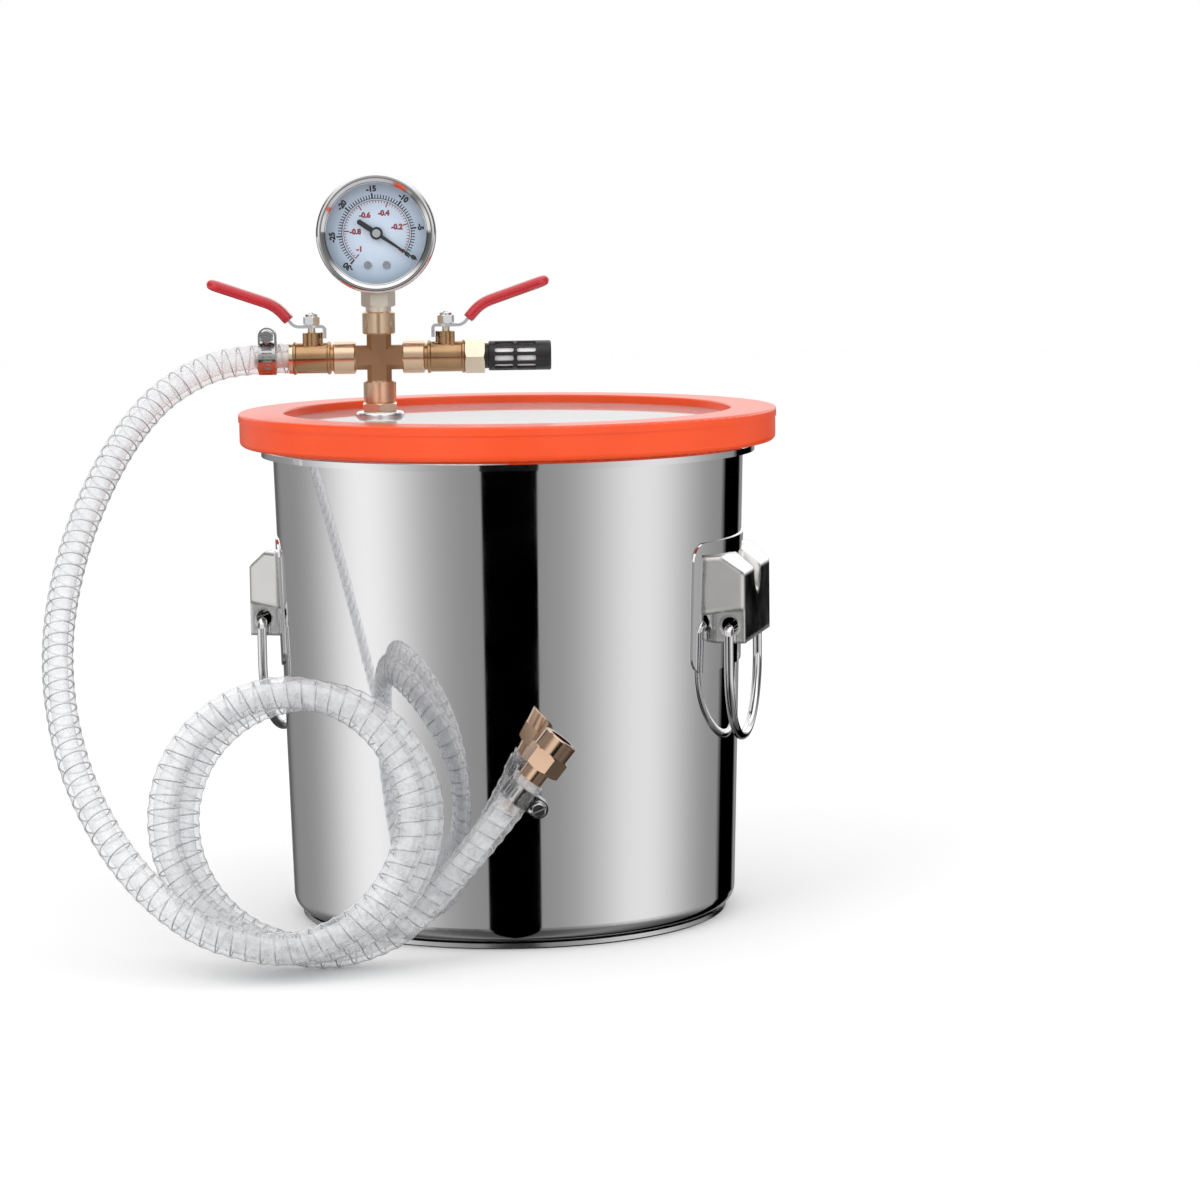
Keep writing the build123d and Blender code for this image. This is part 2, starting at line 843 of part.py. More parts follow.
with BuildPart() as valve_lever:
    with BuildSketch(Plane.XZ):
        with BuildLine() as strap:
            FilletPolyline(
                (-lever_tab_radius, lever_level - lever_tab_drop),
                (-lever_tab_radius, strap_middle),
                rise_foot,
                rise_head,
                tip,
                radius=lever_bends,
            )
        trace(strap.line, line_width=lever_sheet)
    extrude(amount=lever_width / 2, both=True)
    with BuildSketch(Plane.XY.offset(lever_level - 20)):
        with Locations((-lever_tab_radius, 0)):
            Rectangle(lever_tab_radius * 2, lever_tab_width)
        with Locations(((lever_tip[0] - lever_width / 2) / 2, 0)):
            SlotOverall(lever_tip[0] + lever_width / 2, lever_width)
    extrude(amount=80, mode=Mode.INTERSECT)
    with BuildSketch(Plane.XY.offset(lever_level - 1)):
        Circle(stem_diameter / 2)
        Rectangle(stem_diameter, stem_flats, mode=Mode.INTERSECT)
    extrude(amount=lever_sheet + 2, mode=Mode.SUBTRACT)

with BuildPart() as valve_grip:
    with BuildSketch(Plane.XZ):
        with BuildLine() as sleeve_line:
            FilletPolyline(
                rise_foot + (rise_head - rise_foot) * grip_start,
                rise_head,
                tip + slope * grip_overhang,
                radius=lever_bends[1],
            )
        trace(sleeve_line.line, line_width=grip_thickness)
    extrude(amount=grip_width / 2, both=True)
    fillet(valve_grip.edges().filter_by(Plane.XZ), radius=grip_round)
    add(valve_lever.part, mode=Mode.SUBTRACT)

spigot_start = valve_middle + seat_far
spigot_radius = chamber_radius - thread_gap

with BuildPart() as left_hose_barb:
    add(
        round_bar(
            [
                (spigot_start, spigot_radius),
                (valve_end, spigot_radius),
                (valve_end, barb_collar_diameter / 2),
                (hose_start, barb_collar_diameter / 2),
                *barb_profile(hose_start),
            ]
        )
    )
    far = hose_start + barb_length
    add(round_bar([(spigot_start, barb_bore / 2), (far, barb_bore / 2)]), mode=Mode.SUBTRACT)

muffler_start = valve_end + end_hex_length

with BuildPart() as right_valve_end:
    add(round_bar([(spigot_start, spigot_radius), (valve_end, spigot_radius)]))
    add(
        hexagon(end_hex, end_hex_length, 0.7, turn=30)
        .moved(Location((valve_end, 0, 0), (0, 90, 0)))
    )
    socket_floor = muffler_start - thread_length
    add(round_bar([(socket_floor, female_radius), (muffler_start, female_radius)]), mode=Mode.SUBTRACT)
    add(round_bar([(spigot_start, port_bore / 2), (muffler_start, port_bore / 2)]), mode=Mode.SUBTRACT)

lever_frame = Location((valve_middle, 0, 0))
for side in ("left", "right"):
    save(at_side(valve_body.part, side), f"{side}_valve_body")
    save(at_side(valve_seats.part, side), f"{side}_valve_seats")
    save(at_side(valve_ball.part, side), f"{side}_valve_ball")
    save(at_side(valve_stem.part.moved(lever_frame), side), f"{side}_valve_stem")
    save(at_side(valve_stem_seal.moved(lever_frame), side), f"{side}_stem_seal")
    save(at_side(valve_lever.part.moved(lever_frame), side), f"{side}_lever")
    save(at_side(valve_grip.part.moved(lever_frame), side), f"{side}_lever_grip")
    save(at_side(valve_lever_nut.part.moved(lever_frame), side), f"{side}_lever_nut")
save(at_side(left_hose_barb.part, "left"), "left_hose_barb")
save(at_side(right_valve_end.part, "right"), "right_valve_end")


# ---------------------------------------------------------------- muffler

muffler_body_start = muffler_start + muffler_neck_length
muffler_end = muffler_body_start + muffler_length
hollow_start = muffler_body_start + muffler_wall
hollow_end = muffler_end - muffler_wall
hollow_radius = muffler_diameter / 2 - muffler_wall

with BuildPart() as muffler_body:
    outer = muffler_diameter / 2
    neck = female_radius + muffler_neck_wall
    add(
        round_bar(
            [
                (muffler_start - muffler_thread_length, male_radius),
                (muffler_start, male_radius),
                (muffler_start, neck),
                (muffler_body_start, neck),
                (muffler_body_start, outer - 0.5),
                (muffler_body_start + 0.5, outer),
                (muffler_end - 0.7, outer),
                (muffler_end, outer - 0.7),
            ]
        )
    )
    add(round_bar([(hollow_start, hollow_radius), (hollow_end, hollow_radius)]), mode=Mode.SUBTRACT)
    add(round_bar([(0, port_bore / 2), (hollow_start, port_bore / 2)]), mode=Mode.SUBTRACT)
    for row in range(muffler_window_rows // 2):
        angle = radians(muffler_window_angle + 360 / muffler_window_rows * row)
        first = muffler_body_start + muffler_window_start + muffler_window_length / 2
        with BuildSketch(Plane((first, 0, 0), x_dir=(1, 0, 0), z_dir=(0, -cos(angle), sin(angle)))):
            with Locations((0, 0), (muffler_window_pitch, 0)):
                RectangleRounded(muffler_window_length, muffler_window_width, 0.8)
        extrude(amount=muffler_diameter, both=True, mode=Mode.SUBTRACT)
save(at_side(muffler_body.part, "right"), "muffler_body")

with BuildPart() as muffler_element:
    add(round_bar([(hollow_start, hollow_radius), (hollow_end, hollow_radius)]))
    add(round_bar([(hollow_start, element_bore / 2), (hollow_end, element_bore / 2)]), mode=Mode.SUBTRACT)
save(at_side(muffler_element.part, "right"), "muffler_element")


# ---------------------------------------------------------------- pressure gauge

# drawn from the front: X across, Z up, the needle turning about Y

def facing(depth):
    """Sketch plane at a depth behind the gauge stem's centre, seen from the front."""
    return Plane.XZ.offset(-depth)


def disc(outer, inner, front, back):
    """Round plate about the gauge's axis; solid where inner is 0."""
    with BuildPart() as plate:
        with BuildSketch(facing(back)):
            Circle(outer)
            if inner > 0:
                Circle(inner, mode=Mode.SUBTRACT)
        extrude(amount=back - front)
    return plate.part


def polar(radius, angle):
    """Point of the dial plane at a radius and an angle above the X axis."""
    return (radius * cos(radians(angle)), radius * sin(radians(angle)))


case_radius = case_diameter / 2
case_inner = case_radius - case_sheet
bezel_radius = case_radius + bezel_cover
bezel_window = case_radius - bezel_frame
bezel_inner = case_radius + case_gap
lens_back = lens_front + lens_thickness
glass_radius = case_inner - lens_gap
dial_back = dial_front + dial_thickness
plate_front_back = frame_front + frame_sheet
plate_back_front = frame_back - frame_sheet
socket_face = cross_arm - gauge_rise
hex_top = -case_radius
hex_foot = hex_top - gauge_hex_height

with BuildPart() as gauge_stem:
    add(sleeve(male_radius, 0, socket_face - thread_length, socket_face))
    add(sleeve(female_radius + gauge_neck_wall, 0, socket_face, hex_foot))
    add(
        hexagon(gauge_hex, gauge_hex_height, 0.7, turn=gauge_hex_turn)
        .moved(Location((0, 0, hex_foot)))
    )
    low = (Align.CENTER, Align.CENTER, Align.MIN)
    with Locations((0, 0, hex_top)):
        Box(block_width, block_foot_depth, block_foot_top - hex_top, align=low)
    with Locations((0, (plate_front_back + plate_back_front) / 2, block_foot_top)):
        Box(block_width, plate_back_front - plate_front_back, block_top - block_foot_top, align=low)
    root_level = polar(bourdon_radius, bourdon_root)[1]
    with Locations((0, 0, socket_face - thread_length)):
        height = root_level - socket_face + thread_length
        Cylinder(gauge_bore / 2, height, align=low, mode=Mode.SUBTRACT)
save(gauge_stem.part.moved(gauge), "gauge_stem")

with BuildPart() as gauge_case:
    with BuildSketch(Plane.XY) as section:
        with BuildLine():
            Polyline(
                (0, case_back),
                (case_radius, case_back),
                (case_radius, lens_front),
                (case_inner, lens_front),
                (case_inner, case_back - case_sheet),
                (0, case_back - case_sheet),
                close=True,
            )
        make_face()
        fillet(corner(section, case_radius, case_back), radius=case_round)
        fillet(corner(section, case_inner, case_back), radius=case_round - case_sheet)
    revolve(axis=Axis.Y)
    Box(
        block_width,
        block_foot_depth,
        case_diameter,
        align=(Align.CENTER, Align.CENTER, Align.MAX),
        mode=Mode.SUBTRACT,
    )
save(gauge_case.part.moved(gauge), "gauge_case")

with BuildPart() as gauge_bezel:
    with BuildSketch(Plane.XY) as section:
        with BuildLine():
            Polyline(
                (case_radius - bezel_land, bezel_front),
                (bezel_radius, bezel_front),
                (bezel_radius, bezel_front + bezel_width),
                (bezel_inner, bezel_front + bezel_width),
                (bezel_inner, lens_front),
                (bezel_window, lens_front),
                (bezel_window, bezel_lip),
                close=True,
            )
        make_face()
        fillet(corner(section, bezel_radius, bezel_front), radius=bezel_round)
    revolve(axis=Axis.Y)
save(gauge_bezel.part.moved(gauge), "gauge_bezel")

save(disc(glass_radius, 0, lens_front, lens_back).moved(gauge), "gauge_lens")
save(
    disc(glass_radius, glass_radius - spacer_sheet, lens_back, dial_front).moved(gauge),
    "lens_spacer",
)

with BuildPart() as gauge_dial:
    add(disc(glass_radius, dial_hole / 2, dial_front, dial_back))
    with BuildSketch(facing(dial_back)):
        with Locations((-dial_screw_spread, -dial_screw_drop), (dial_screw_spread, -dial_screw_drop)):
            Circle(dial_screw_diameter / 2)
    extrude(amount=dial_thickness, mode=Mode.SUBTRACT)
save(gauge_dial.part.moved(gauge), "gauge_dial")

with BuildPart() as dial_screws:
    places = [(-dial_screw_spread, -dial_screw_drop), (dial_screw_spread, -dial_screw_drop)]
    with BuildSketch(facing(plate_front_back)):
        with Locations(*places):
            Circle(dial_screw_diameter / 2)
    extrude(amount=plate_front_back - dial_front)
    with BuildSketch(facing(dial_front)):
        with Locations(*places):
            Circle(dial_screw_head / 2)
    extrude(amount=dial_screw_head_height)
    with BuildSketch(facing(dial_front - dial_screw_head_height / 2)):
        with Locations(*places):
            Rectangle(dial_screw_slot, dial_screw_head, rotation=20)
    extrude(amount=dial_screw_head_height, mode=Mode.SUBTRACT)
save(dial_screws.part.moved(gauge), "dial_screws")

hub_front = needle_back - needle_hub_height

with BuildPart() as gauge_needle:
    with BuildSketch(facing(needle_back)):
        with BuildLine():
            Polyline(
                (-needle_tail_reach + needle_tail_width / 2, -needle_tail_width / 2),
                (0, -needle_tail_width / 2),
                (0, -needle_root_width / 2),
                (needle_tip_reach, -needle_tip_width / 2),
                (needle_tip_reach, needle_tip_width / 2),
                (0, needle_root_width / 2),
                (0, needle_tail_width / 2),
                (-needle_tail_reach + needle_tail_width / 2, needle_tail_width / 2),
                close=True,
            )
        make_face()
        with Locations((-needle_tail_reach + needle_tail_width / 2, 0)):
            Circle(needle_tail_width / 2)
    extrude(amount=needle_thickness)
    add(disc(needle_hub_diameter / 2, 0, hub_front, needle_back))
    chamfer(gauge_needle.faces().sort_by(Axis.Y)[0].edges(), length=0.4)
    add(disc(arbor_diameter / 2, 0, hub_front, needle_back), mode=Mode.SUBTRACT)
pointing = Location((0, 0, 0), (0, -needle_angle, 0))
save(gauge_needle.part.moved(pointing).moved(gauge), "gauge_needle")


def teeth(count, radius, first, step, root_depth):
    """Straight-sided gear teeth drawn round the origin of the current sketch."""
    root_width = 2 * tooth_fill * pi * gear_module / (1 + tooth_tip)
    inner = radius - root_depth - 0.1
    outer = radius + 0.7 * gear_module
    for index in range(count):
        with Locations(Location((0, 0, 0), (0, 0, first + index * step))):
            with Locations(((inner + outer) / 2, 0)):
                Trapezoid(root_width, outer - inner, tooth_angle(outer - inner, root_width), rotation=-90)


def tooth_angle(height, root_width):
    """Slope of a tooth's flank that narrows it to the wanted tip."""
    return degrees(pi / 2 - acos(1 / sqrt(1 + ((1 - tooth_tip) * root_width / 2 / height) ** 2)))


pinion_radius = gear_module * pinion_teeth / 2
sector_radius = pinion_radius * gear_ratio
sector_drop = pinion_radius + sector_radius
root_depth = 0.9 * gear_module
sector_step = 360 / pinion_teeth / gear_ratio
sector_teeth = int((sector_arc[1] - sector_arc[0]) / sector_step)
sector_first = 90 - sector_step / 2

with BuildPart() as needle_arbor:
    add(disc(arbor_diameter / 2, 0, hub_front, frame_back))
    add(disc(arbor_cap_diameter / 2, 0, hub_front - arbor_cap_height, hub_front))
    with BuildSketch(facing(gear_middle + pinion_width / 2)):
        Circle(pinion_radius - root_depth)
        teeth(pinion_teeth, pinion_radius, -90, 360 / pinion_teeth, root_depth)
    extrude(amount=pinion_width)
save(needle_arbor.part.moved(gauge), "needle_arbor")

with BuildPart() as movement_frame:
    for front in (frame_front, plate_back_front):
        with BuildSketch(facing(front + frame_sheet)):
            with Locations((0, (frame_top + frame_bottom) / 2)):
                RectangleRounded(frame_width, frame_top - frame_bottom, 1.5)
            Circle(arbor_diameter / 2 + arbor_gap, mode=Mode.SUBTRACT)
            with Locations((0, -sector_drop)):
                Circle(sector_arbor_diameter / 2 + arbor_gap, mode=Mode.SUBTRACT)
        extrude(amount=frame_sheet)
    with BuildSketch(facing(plate_back_front)):
        x, z = frame_pillar_place
        with Locations((-x, z), (x, z)):
            Circle(frame_pillar_diameter / 2)
    extrude(amount=plate_back_front - plate_front_back)
    with BuildSketch(facing(frame_front)):
        with Locations(*places):
            Circle(dial_post_diameter / 2)
    extrude(amount=frame_front - dial_back)
    with BuildSketch(facing(plate_front_back)):
        with Locations(*places):
            Circle(dial_screw_diameter / 2)
    extrude(amount=plate_front_back - dial_back, mode=Mode.SUBTRACT)
save(movement_frame.part.moved(gauge), "movement_frame")

# the toothed sector, drawn about its own pivot
sector_pivot = Location((0, 0, -sector_drop))
link_front = gear_middle + sector_width / 2 + link_gap
link_back = link_front + link_sheet
pin_place = polar(link_pin_reach, link_pin_angle)

with BuildPart() as sector_gear:
    add(disc(sector_arbor_diameter / 2, 0, frame_front, frame_back))
    with BuildSketch(facing(gear_middle + sector_width / 2)):
        with BuildLine():
            start = polar(sector_radius - root_depth, sector_arc[0])
            middle = polar(sector_radius - root_depth, sum(sector_arc) / 2)
            end = polar(sector_radius - root_depth, sector_arc[1])
            ThreePointArc(start, middle, end)
            Polyline(end, (0, 0), start)
        make_face()
        with BuildLine():
            inset = 6.0
            start = polar(sector_fan_start, sector_arc[0] + inset)
            middle = polar(sector_fan_start, sum(sector_arc) / 2)
            end = polar(sector_fan_start, sector_arc[1] - inset)
            ThreePointArc(start, middle, end)
            Polyline(end, polar(4.0, sum(sector_arc) / 2), start)
        make_face(mode=Mode.SUBTRACT)
        Circle(sector_hub_diameter / 2)
        teeth(sector_teeth, sector_radius, sector_first, sector_step, root_depth)
        with Locations(pin_place):
            Circle(link_width / 2)
        with Locations(Location((0, 0, 0), (0, 0, link_pin_angle))):
            Rectangle(link_pin_reach, link_width, align=(Align.MIN, Align.CENTER))
    extrude(amount=sector_width)
    with BuildSketch(facing(link_back)):
        with Locations(pin_place):
            Circle(link_pin_diameter / 2)
    extrude(amount=link_back - gear_middle)
save(sector_gear.part.moved(sector_pivot).moved(gauge), "sector_gear")

with BuildPart() as movement_link:
    with BuildSketch(facing(link_back)):
        with Locations((pin_place[0] + link_length / 2, pin_place[1])):
            SlotCenterToCenter(link_length, link_width)
        with Locations(pin_place, (pin_place[0] + link_length, pin_place[1])):
            Circle(link_pin_diameter / 2 + arbor_gap, mode=Mode.SUBTRACT)
    extrude(amount=link_sheet)
save(movement_link.part.moved(sector_pivot).moved(gauge), "movement_link")

with BuildPart() as bourdon_tube:
    x, z = polar(bourdon_radius, bourdon_root)
    root_plane = Plane((x, 0, z), x_dir=(x, 0, z), z_dir=(-z, 0, x))
    with BuildSketch(root_plane):
        RectangleRounded(bourdon_thickness, bourdon_depth, bourdon_thickness / 2 - 0.1)
    revolve(axis=Axis.Y, revolution_arc=bourdon_arc)
    with BuildSketch(root_plane):
        thin = bourdon_thickness - 2 * bourdon_wall
        RectangleRounded(thin, bourdon_depth - 2 * bourdon_wall, thin / 2 - 0.1)
    revolve(axis=Axis.Y, revolution_arc=bourdon_arc - 2, mode=Mode.SUBTRACT)
    add(gauge_stem.part, mode=Mode.SUBTRACT)
save(bourdon_tube.part.moved(gauge), "bourdon_tube")


# ---------------------------------------------------------------- hose

coil_normal = Vector(0, cos(radians(coil_lean)), -sin(radians(coil_lean)))
pitch = Vector(*coil_pitch)
coil_margin = 0.45          # of a pitch, beyond the first and last turn

with BuildPart() as hose_coil:
    base_point = Vector(*coil_centre) - pitch * coil_margin
    with BuildSketch(Plane(base_point, x_dir=(1, 0, 0), z_dir=coil_normal)):
        Circle(coil_radius + hose_radius)
        Circle(coil_radius - hose_radius, mode=Mode.SUBTRACT)
    extrude(amount=pitch.length * (coil_turns + 2 * coil_margin), dir=pitch)
    fillet(hose_coil.edges().filter_by(GeomType.CIRCLE), radius=coil_round)
    split(bisect_by=Plane.XY.offset(coil_floor_gap), keep=Keep.TOP)
save(hose_coil.part, "hose_coil")


def route(points):
    """Line of straight runs with an arc at each corner as large as its neighbours allow."""
    radii = []
    for before, at, after in zip(points, points[1:], points[2:]):
        shorter = min((at - before).length, (after - at).length)
        half_turn = radians((at - before).get_angle(after - at)) / 2
        radii.append(0.45 * shorter / tan(half_turn))
    print("hose bend radii", [round(r, 1) for r in radii])
    return FilletPolyline(*points, radius=radii)


def hose_run(points, trim):
    """Hollow hose along a route, cut off where it joins the coil."""
    start = Plane(points[0], z_dir=points[1] - points[0])
    with BuildPart() as run:
        with BuildLine():
            route(points)
        with BuildSketch(start):
            Circle(hose_radius)
            Circle(hose_bore / 2, mode=Mode.SUBTRACT)
        sweep()
        add(trim, mode=Mode.SUBTRACT)
    piece = run.part.solids().sort_by(SortBy.VOLUME)[-1]
    return Part(piece.wrapped)


hose_origin = Vector(manifold_x - hose_start, manifold_y, cross_height)
drop_points = [hose_origin] + [Vector(*point) for point in drop_route]
save(hose_run(drop_points, hose_coil.part), "hose_drop")

tail_points = [Vector(*point) for point in tail_route]
tail_place = Vector(*tail_clamp_place)
tail_way = (tail_place - tail_points[-1]).normalized()
hose_end = tail_place + tail_way * (clamp_width / 2 + tail_clamp_offset)
save(hose_run([hose_end] + tail_points[::-1], hose_coil.part), "hose_tail")

with BuildPart() as hose_end_fitting:
    add(round_bar([(-x, r) for x, r in reversed(barb_profile(0))]))
    add(round_bar([(0, end_neck_diameter / 2), (end_neck_length, end_neck_diameter / 2)]))
    add(
        hexagon(end_hex_flats, end_hex_height, 0.8, turn=15)
        .moved(Location((end_neck_length, 0, 0), (0, 90, 0)))
    )
    socket_start = end_neck_length + end_hex_height
    socket_end = socket_start + end_socket_length
    outer = end_socket_diameter / 2
    add(
        round_bar(
            [
                (socket_start, outer),
                (socket_end - 0.5, outer),
                (socket_end, outer - 0.5),
            ]
        )
    )
    bore = end_socket_bore / 2
    add(round_bar([(socket_start - 4, bore), (socket_end, bore)]), mode=Mode.SUBTRACT)
    add(
        round_bar([(-barb_length, barb_bore / 2), (socket_end, barb_bore / 2)]),
        mode=Mode.SUBTRACT,
    )
end_frame = Plane(hose_end, x_dir=tail_way, z_dir=(0, -1, 0)).location
save(hose_end_fitting.part.moved(end_frame), "hose_end_fitting")


# ---------------------------------------------------------------- clamps

# drawn round a hose lying along Z, the screw on the +X side and its head towards -Y

band_radius = hose_radius + clamp_sheet
screw_radius = clamp_screw_diameter / 2
screw_height = band_radius + clamp_screw_gap + screw_radius
dome_radius = clamp_housing_width / 2
up = (Align.CENTER, Align.CENTER, Align.MIN)

with BuildPart() as clamp_band:
    add(sleeve(band_radius, hose_radius, -clamp_width / 2, clamp_width / 2))
    with PolarLocations(0, clamp_slots):
        Box(
            band_radius * 2,
            clamp_slot_width,
            clamp_slot_length,
            align=(Align.MIN, Align.CENTER, Align.CENTER),
            mode=Mode.SUBTRACT,
        )

with BuildPart() as clamp_housing:
    with BuildSketch(Plane.XZ):
        with Locations((screw_height, 0)):
            Circle(dome_radius)
        Rectangle(screw_height, clamp_housing_width, align=(Align.MIN, Align.CENTER))
    extrude(amount=clamp_housing_length / 2, both=True)
    with BuildSketch(Plane.XZ):
        hollow = dome_radius - clamp_housing_wall
        with Locations((screw_height, 0)):
            Circle(hollow)
        Rectangle(screw_height, 2 * hollow, align=(Align.MIN, Align.CENTER))
    extrude(amount=clamp_housing_length, both=True, mode=Mode.SUBTRACT)
    Cylinder(band_radius, 40, mode=Mode.SUBTRACT)

with BuildPart() as clamp_screw:
    half = clamp_housing_length / 2
    with BuildSketch(Plane.XZ.offset(-half + 0.6)):
        Circle(screw_radius)
    extrude(amount=clamp_housing_length - 1.2)
    with BuildSketch(Plane.XZ.offset(half - 0.6)):
        Circle(clamp_neck_diameter / 2)
    extrude(amount=0.9)
    head_start = Location((0, -half - 0.3, 0), (90, 0, 0))
    add(hexagon(clamp_head_hex, clamp_head_height, 0.6).moved(head_start))
    with Locations((0, -half - 0.3 - clamp_head_height, 0)):
        Box(
            clamp_head_slot,
            clamp_head_slot_depth * 2,
            clamp_head_hex * 2,
            rotation=(0, 30, 0),
            mode=Mode.SUBTRACT,
        )
screw_place = Location((screw_height, 0, 0))

upper_place = hose_origin - Vector(clamp_middle, 0, 0)
upper_frame = Plane(upper_place, x_dir=(0, 0, 1), z_dir=(-1, 0, 0)).location
lower_side = Vector(tail_way.Z, 0, -tail_way.X)
lower_frame = Plane(tail_place, x_dir=lower_side, z_dir=tail_way).location
for name, frame in (("upper", upper_frame), ("lower", lower_frame)):
    save(clamp_band.part.moved(frame), f"{name}_clamp_band")
    save(clamp_housing.part.moved(frame), f"{name}_clamp_housing")
    save(clamp_screw.part.moved(screw_place).moved(frame), f"{name}_clamp_screw")
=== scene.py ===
"""Looks of the vacuum degassing chamber.

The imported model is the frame: metres, Z up, the gauge's face towards -Y.
Hard parts keep their CAD shapes and get materials here. The hose with its wire, the lever grips
and the dial's print are made here.
"""

import json
from math import cos, pi, radians, sin

import bmesh
import bpy
from mathutils import Matrix, Vector


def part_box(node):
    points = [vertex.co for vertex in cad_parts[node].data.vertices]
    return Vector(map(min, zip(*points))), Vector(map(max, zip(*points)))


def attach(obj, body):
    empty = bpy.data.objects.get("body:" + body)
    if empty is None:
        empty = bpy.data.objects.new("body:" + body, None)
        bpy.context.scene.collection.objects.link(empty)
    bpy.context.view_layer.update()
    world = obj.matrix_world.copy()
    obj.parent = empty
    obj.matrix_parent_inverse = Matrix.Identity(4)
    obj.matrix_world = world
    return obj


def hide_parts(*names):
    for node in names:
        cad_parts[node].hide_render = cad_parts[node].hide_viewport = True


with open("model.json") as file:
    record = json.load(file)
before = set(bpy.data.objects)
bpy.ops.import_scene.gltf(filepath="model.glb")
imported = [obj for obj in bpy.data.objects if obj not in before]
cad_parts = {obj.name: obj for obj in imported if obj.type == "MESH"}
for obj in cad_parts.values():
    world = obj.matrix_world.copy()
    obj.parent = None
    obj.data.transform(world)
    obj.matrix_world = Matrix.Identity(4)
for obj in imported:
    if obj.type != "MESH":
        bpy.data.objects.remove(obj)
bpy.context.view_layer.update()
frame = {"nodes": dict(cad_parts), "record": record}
MM = 0.001


# ---------------------------------------------------------------- camera

CAMERA_PLACE = (0.0, -1.9477, 0.3960)
CAMERA_YAW = 1.42           # degrees towards +X
CAMERA_PITCH = 6.72         # degrees down
CAMERA_ROLL = -0.72
CAMERA_LENS = 109.05        # millimetres, on a sensor 36 mm wide


def make_camera():
    """Camera at the viewing distance and angle of the picture."""
    yaw, pitch, roll = radians(CAMERA_YAW), radians(CAMERA_PITCH), radians(CAMERA_ROLL)
    forward = Vector((sin(yaw) * cos(pitch), cos(yaw) * cos(pitch), -sin(pitch)))
    right = Vector((cos(yaw), -sin(yaw), 0))
    up = right.cross(forward)
    side = right * cos(roll) + up * sin(roll)
    top = up * cos(roll) - right * sin(roll)
    data = bpy.data.cameras.new("camera")
    data.lens = CAMERA_LENS
    data.sensor_width = 36
    data.clip_start = 0.05
    camera = bpy.data.objects.new("camera", data)
    bpy.context.collection.objects.link(camera)
    turn = Matrix((side, top, -forward)).transposed()
    camera.matrix_world = Matrix.Translation(CAMERA_PLACE) @ turn.to_4x4()
    bpy.context.scene.camera = camera


make_camera()


# ---------------------------------------------------------------- shader helpers

class Shader:
    """A node material or world, with short ways to add nodes and wires."""

    def __init__(self, tree):
        self.tree = tree
        self.tree.nodes.clear()

    def node(self, kind, **values):
        """New node; values that name a socket set it, others set a property."""
        node = self.tree.nodes.new("ShaderNode" + kind)
        for name, value in values.items():
            label = name.replace("_", " ")
            socket = next((s for s in node.inputs if s.name.lower() == label.lower()), None)
            if socket is None:
                setattr(node, name, value)
            elif isinstance(value, bpy.types.NodeSocket):
                self.tree.links.new(value, socket)
            else:
                socket.default_value = value
        return node

    def link(self, source, target):
        """Wire from an output socket to an input socket."""
        self.tree.links.new(source, target)

    def math(self, operation, *values):
        """Output of a Math node."""
        node = self.node("Math", operation=operation)
        for socket, value in zip(node.inputs, values):
            if isinstance(value, bpy.types.NodeSocket):
                self.link(value, socket)
            else:
                socket.default_value = value
        return node.outputs[0]

    def place(self):
        """The object's own coordinates, which for a CAD node are those of the frame."""
        return self.node("TexCoord").outputs["Object"]

    def noise(self, scale, detail=3.0, stretch=(1, 1, 1)):
        """Fractal noise over the object, in 0 to 1."""
        mapping = self.node("Mapping", Vector=self.place(), Scale=stretch)
        noise = self.node("TexNoise", Vector=mapping.outputs[0], Scale=scale, Detail=detail, Roughness=0.5)
        return noise.outputs["Fac"]

    def vector(self, operation, source, other=None):
        """Vector Math node with one input wired and the other set."""
        node = self.node("VectorMath", operation=operation)
        self.link(source, node.inputs[0])
        if other:
            node.inputs[1].default_value = other
        return node

    def ramp(self, factor, stops):
        """Colour ramp; stops are (position, grey or rgb)."""
        node = self.node("ValToRGB", Fac=factor)
        band = node.color_ramp
        while len(band.elements) < len(stops):
            band.elements.new(1.0)
        for element, (place, value) in zip(band.elements, stops):
            element.position = place
            rgb = value if isinstance(value, tuple) else (value, value, value)
            element.color = (*rgb, 1)
        return node.outputs["Color"]

    def spread(self, factor, low, high, span=(0.3, 0.7)):
        """Noise stretched to run between two values."""
        node = self.node("MapRange", Value=factor)
        node.inputs["From Min"].default_value = span[0]
        node.inputs["From Max"].default_value = span[1]
        node.inputs["To Min"].default_value = low
        node.inputs["To Max"].default_value = high
        return node.outputs[0]

    def gloss_share(self):
        """How much of the light a clear surface mirrors, the same from either side."""
        facing = self.node("LayerWeight", Blend=0.5).outputs["Facing"]
        return self.math("MULTIPLY_ADD", self.math("POWER", facing, 5.0), 0.96, 0.04)

    def bump(self, height, strength, distance, **values):
        """Normal from a height."""
        return self.node("Bump", Height=height, Strength=strength, Distance=distance, **values).outputs[0]

    def mix(self, kind, share, first, second):
        """Output of a mix of two shaders or two colours."""
        if kind == "shader":
            node = self.node("MixShader", Fac=share)
            sockets = node.inputs[1], node.inputs[2]
        else:
            node = self.node("Mix", data_type="RGBA")
            self.link(share, node.inputs[0])
            sockets = node.inputs[6], node.inputs[7]
        for source, socket in zip((first, second), sockets):
            if isinstance(source, bpy.types.NodeSocket):
                self.link(source, socket)
            else:
                socket.default_value = source
        return node.outputs[0 if kind == "shader" else 2]

    def finish(self, source, kind="Material"):
        """Wire a shader to the output."""
        self.link(source, self.node("Output" + kind).inputs["Surface"])


def empty_material(name):
    """New material without nodes: (material, shader)."""
    material = bpy.data.materials.new(name)
    material.use_nodes = True
    return material, Shader(material.node_tree)


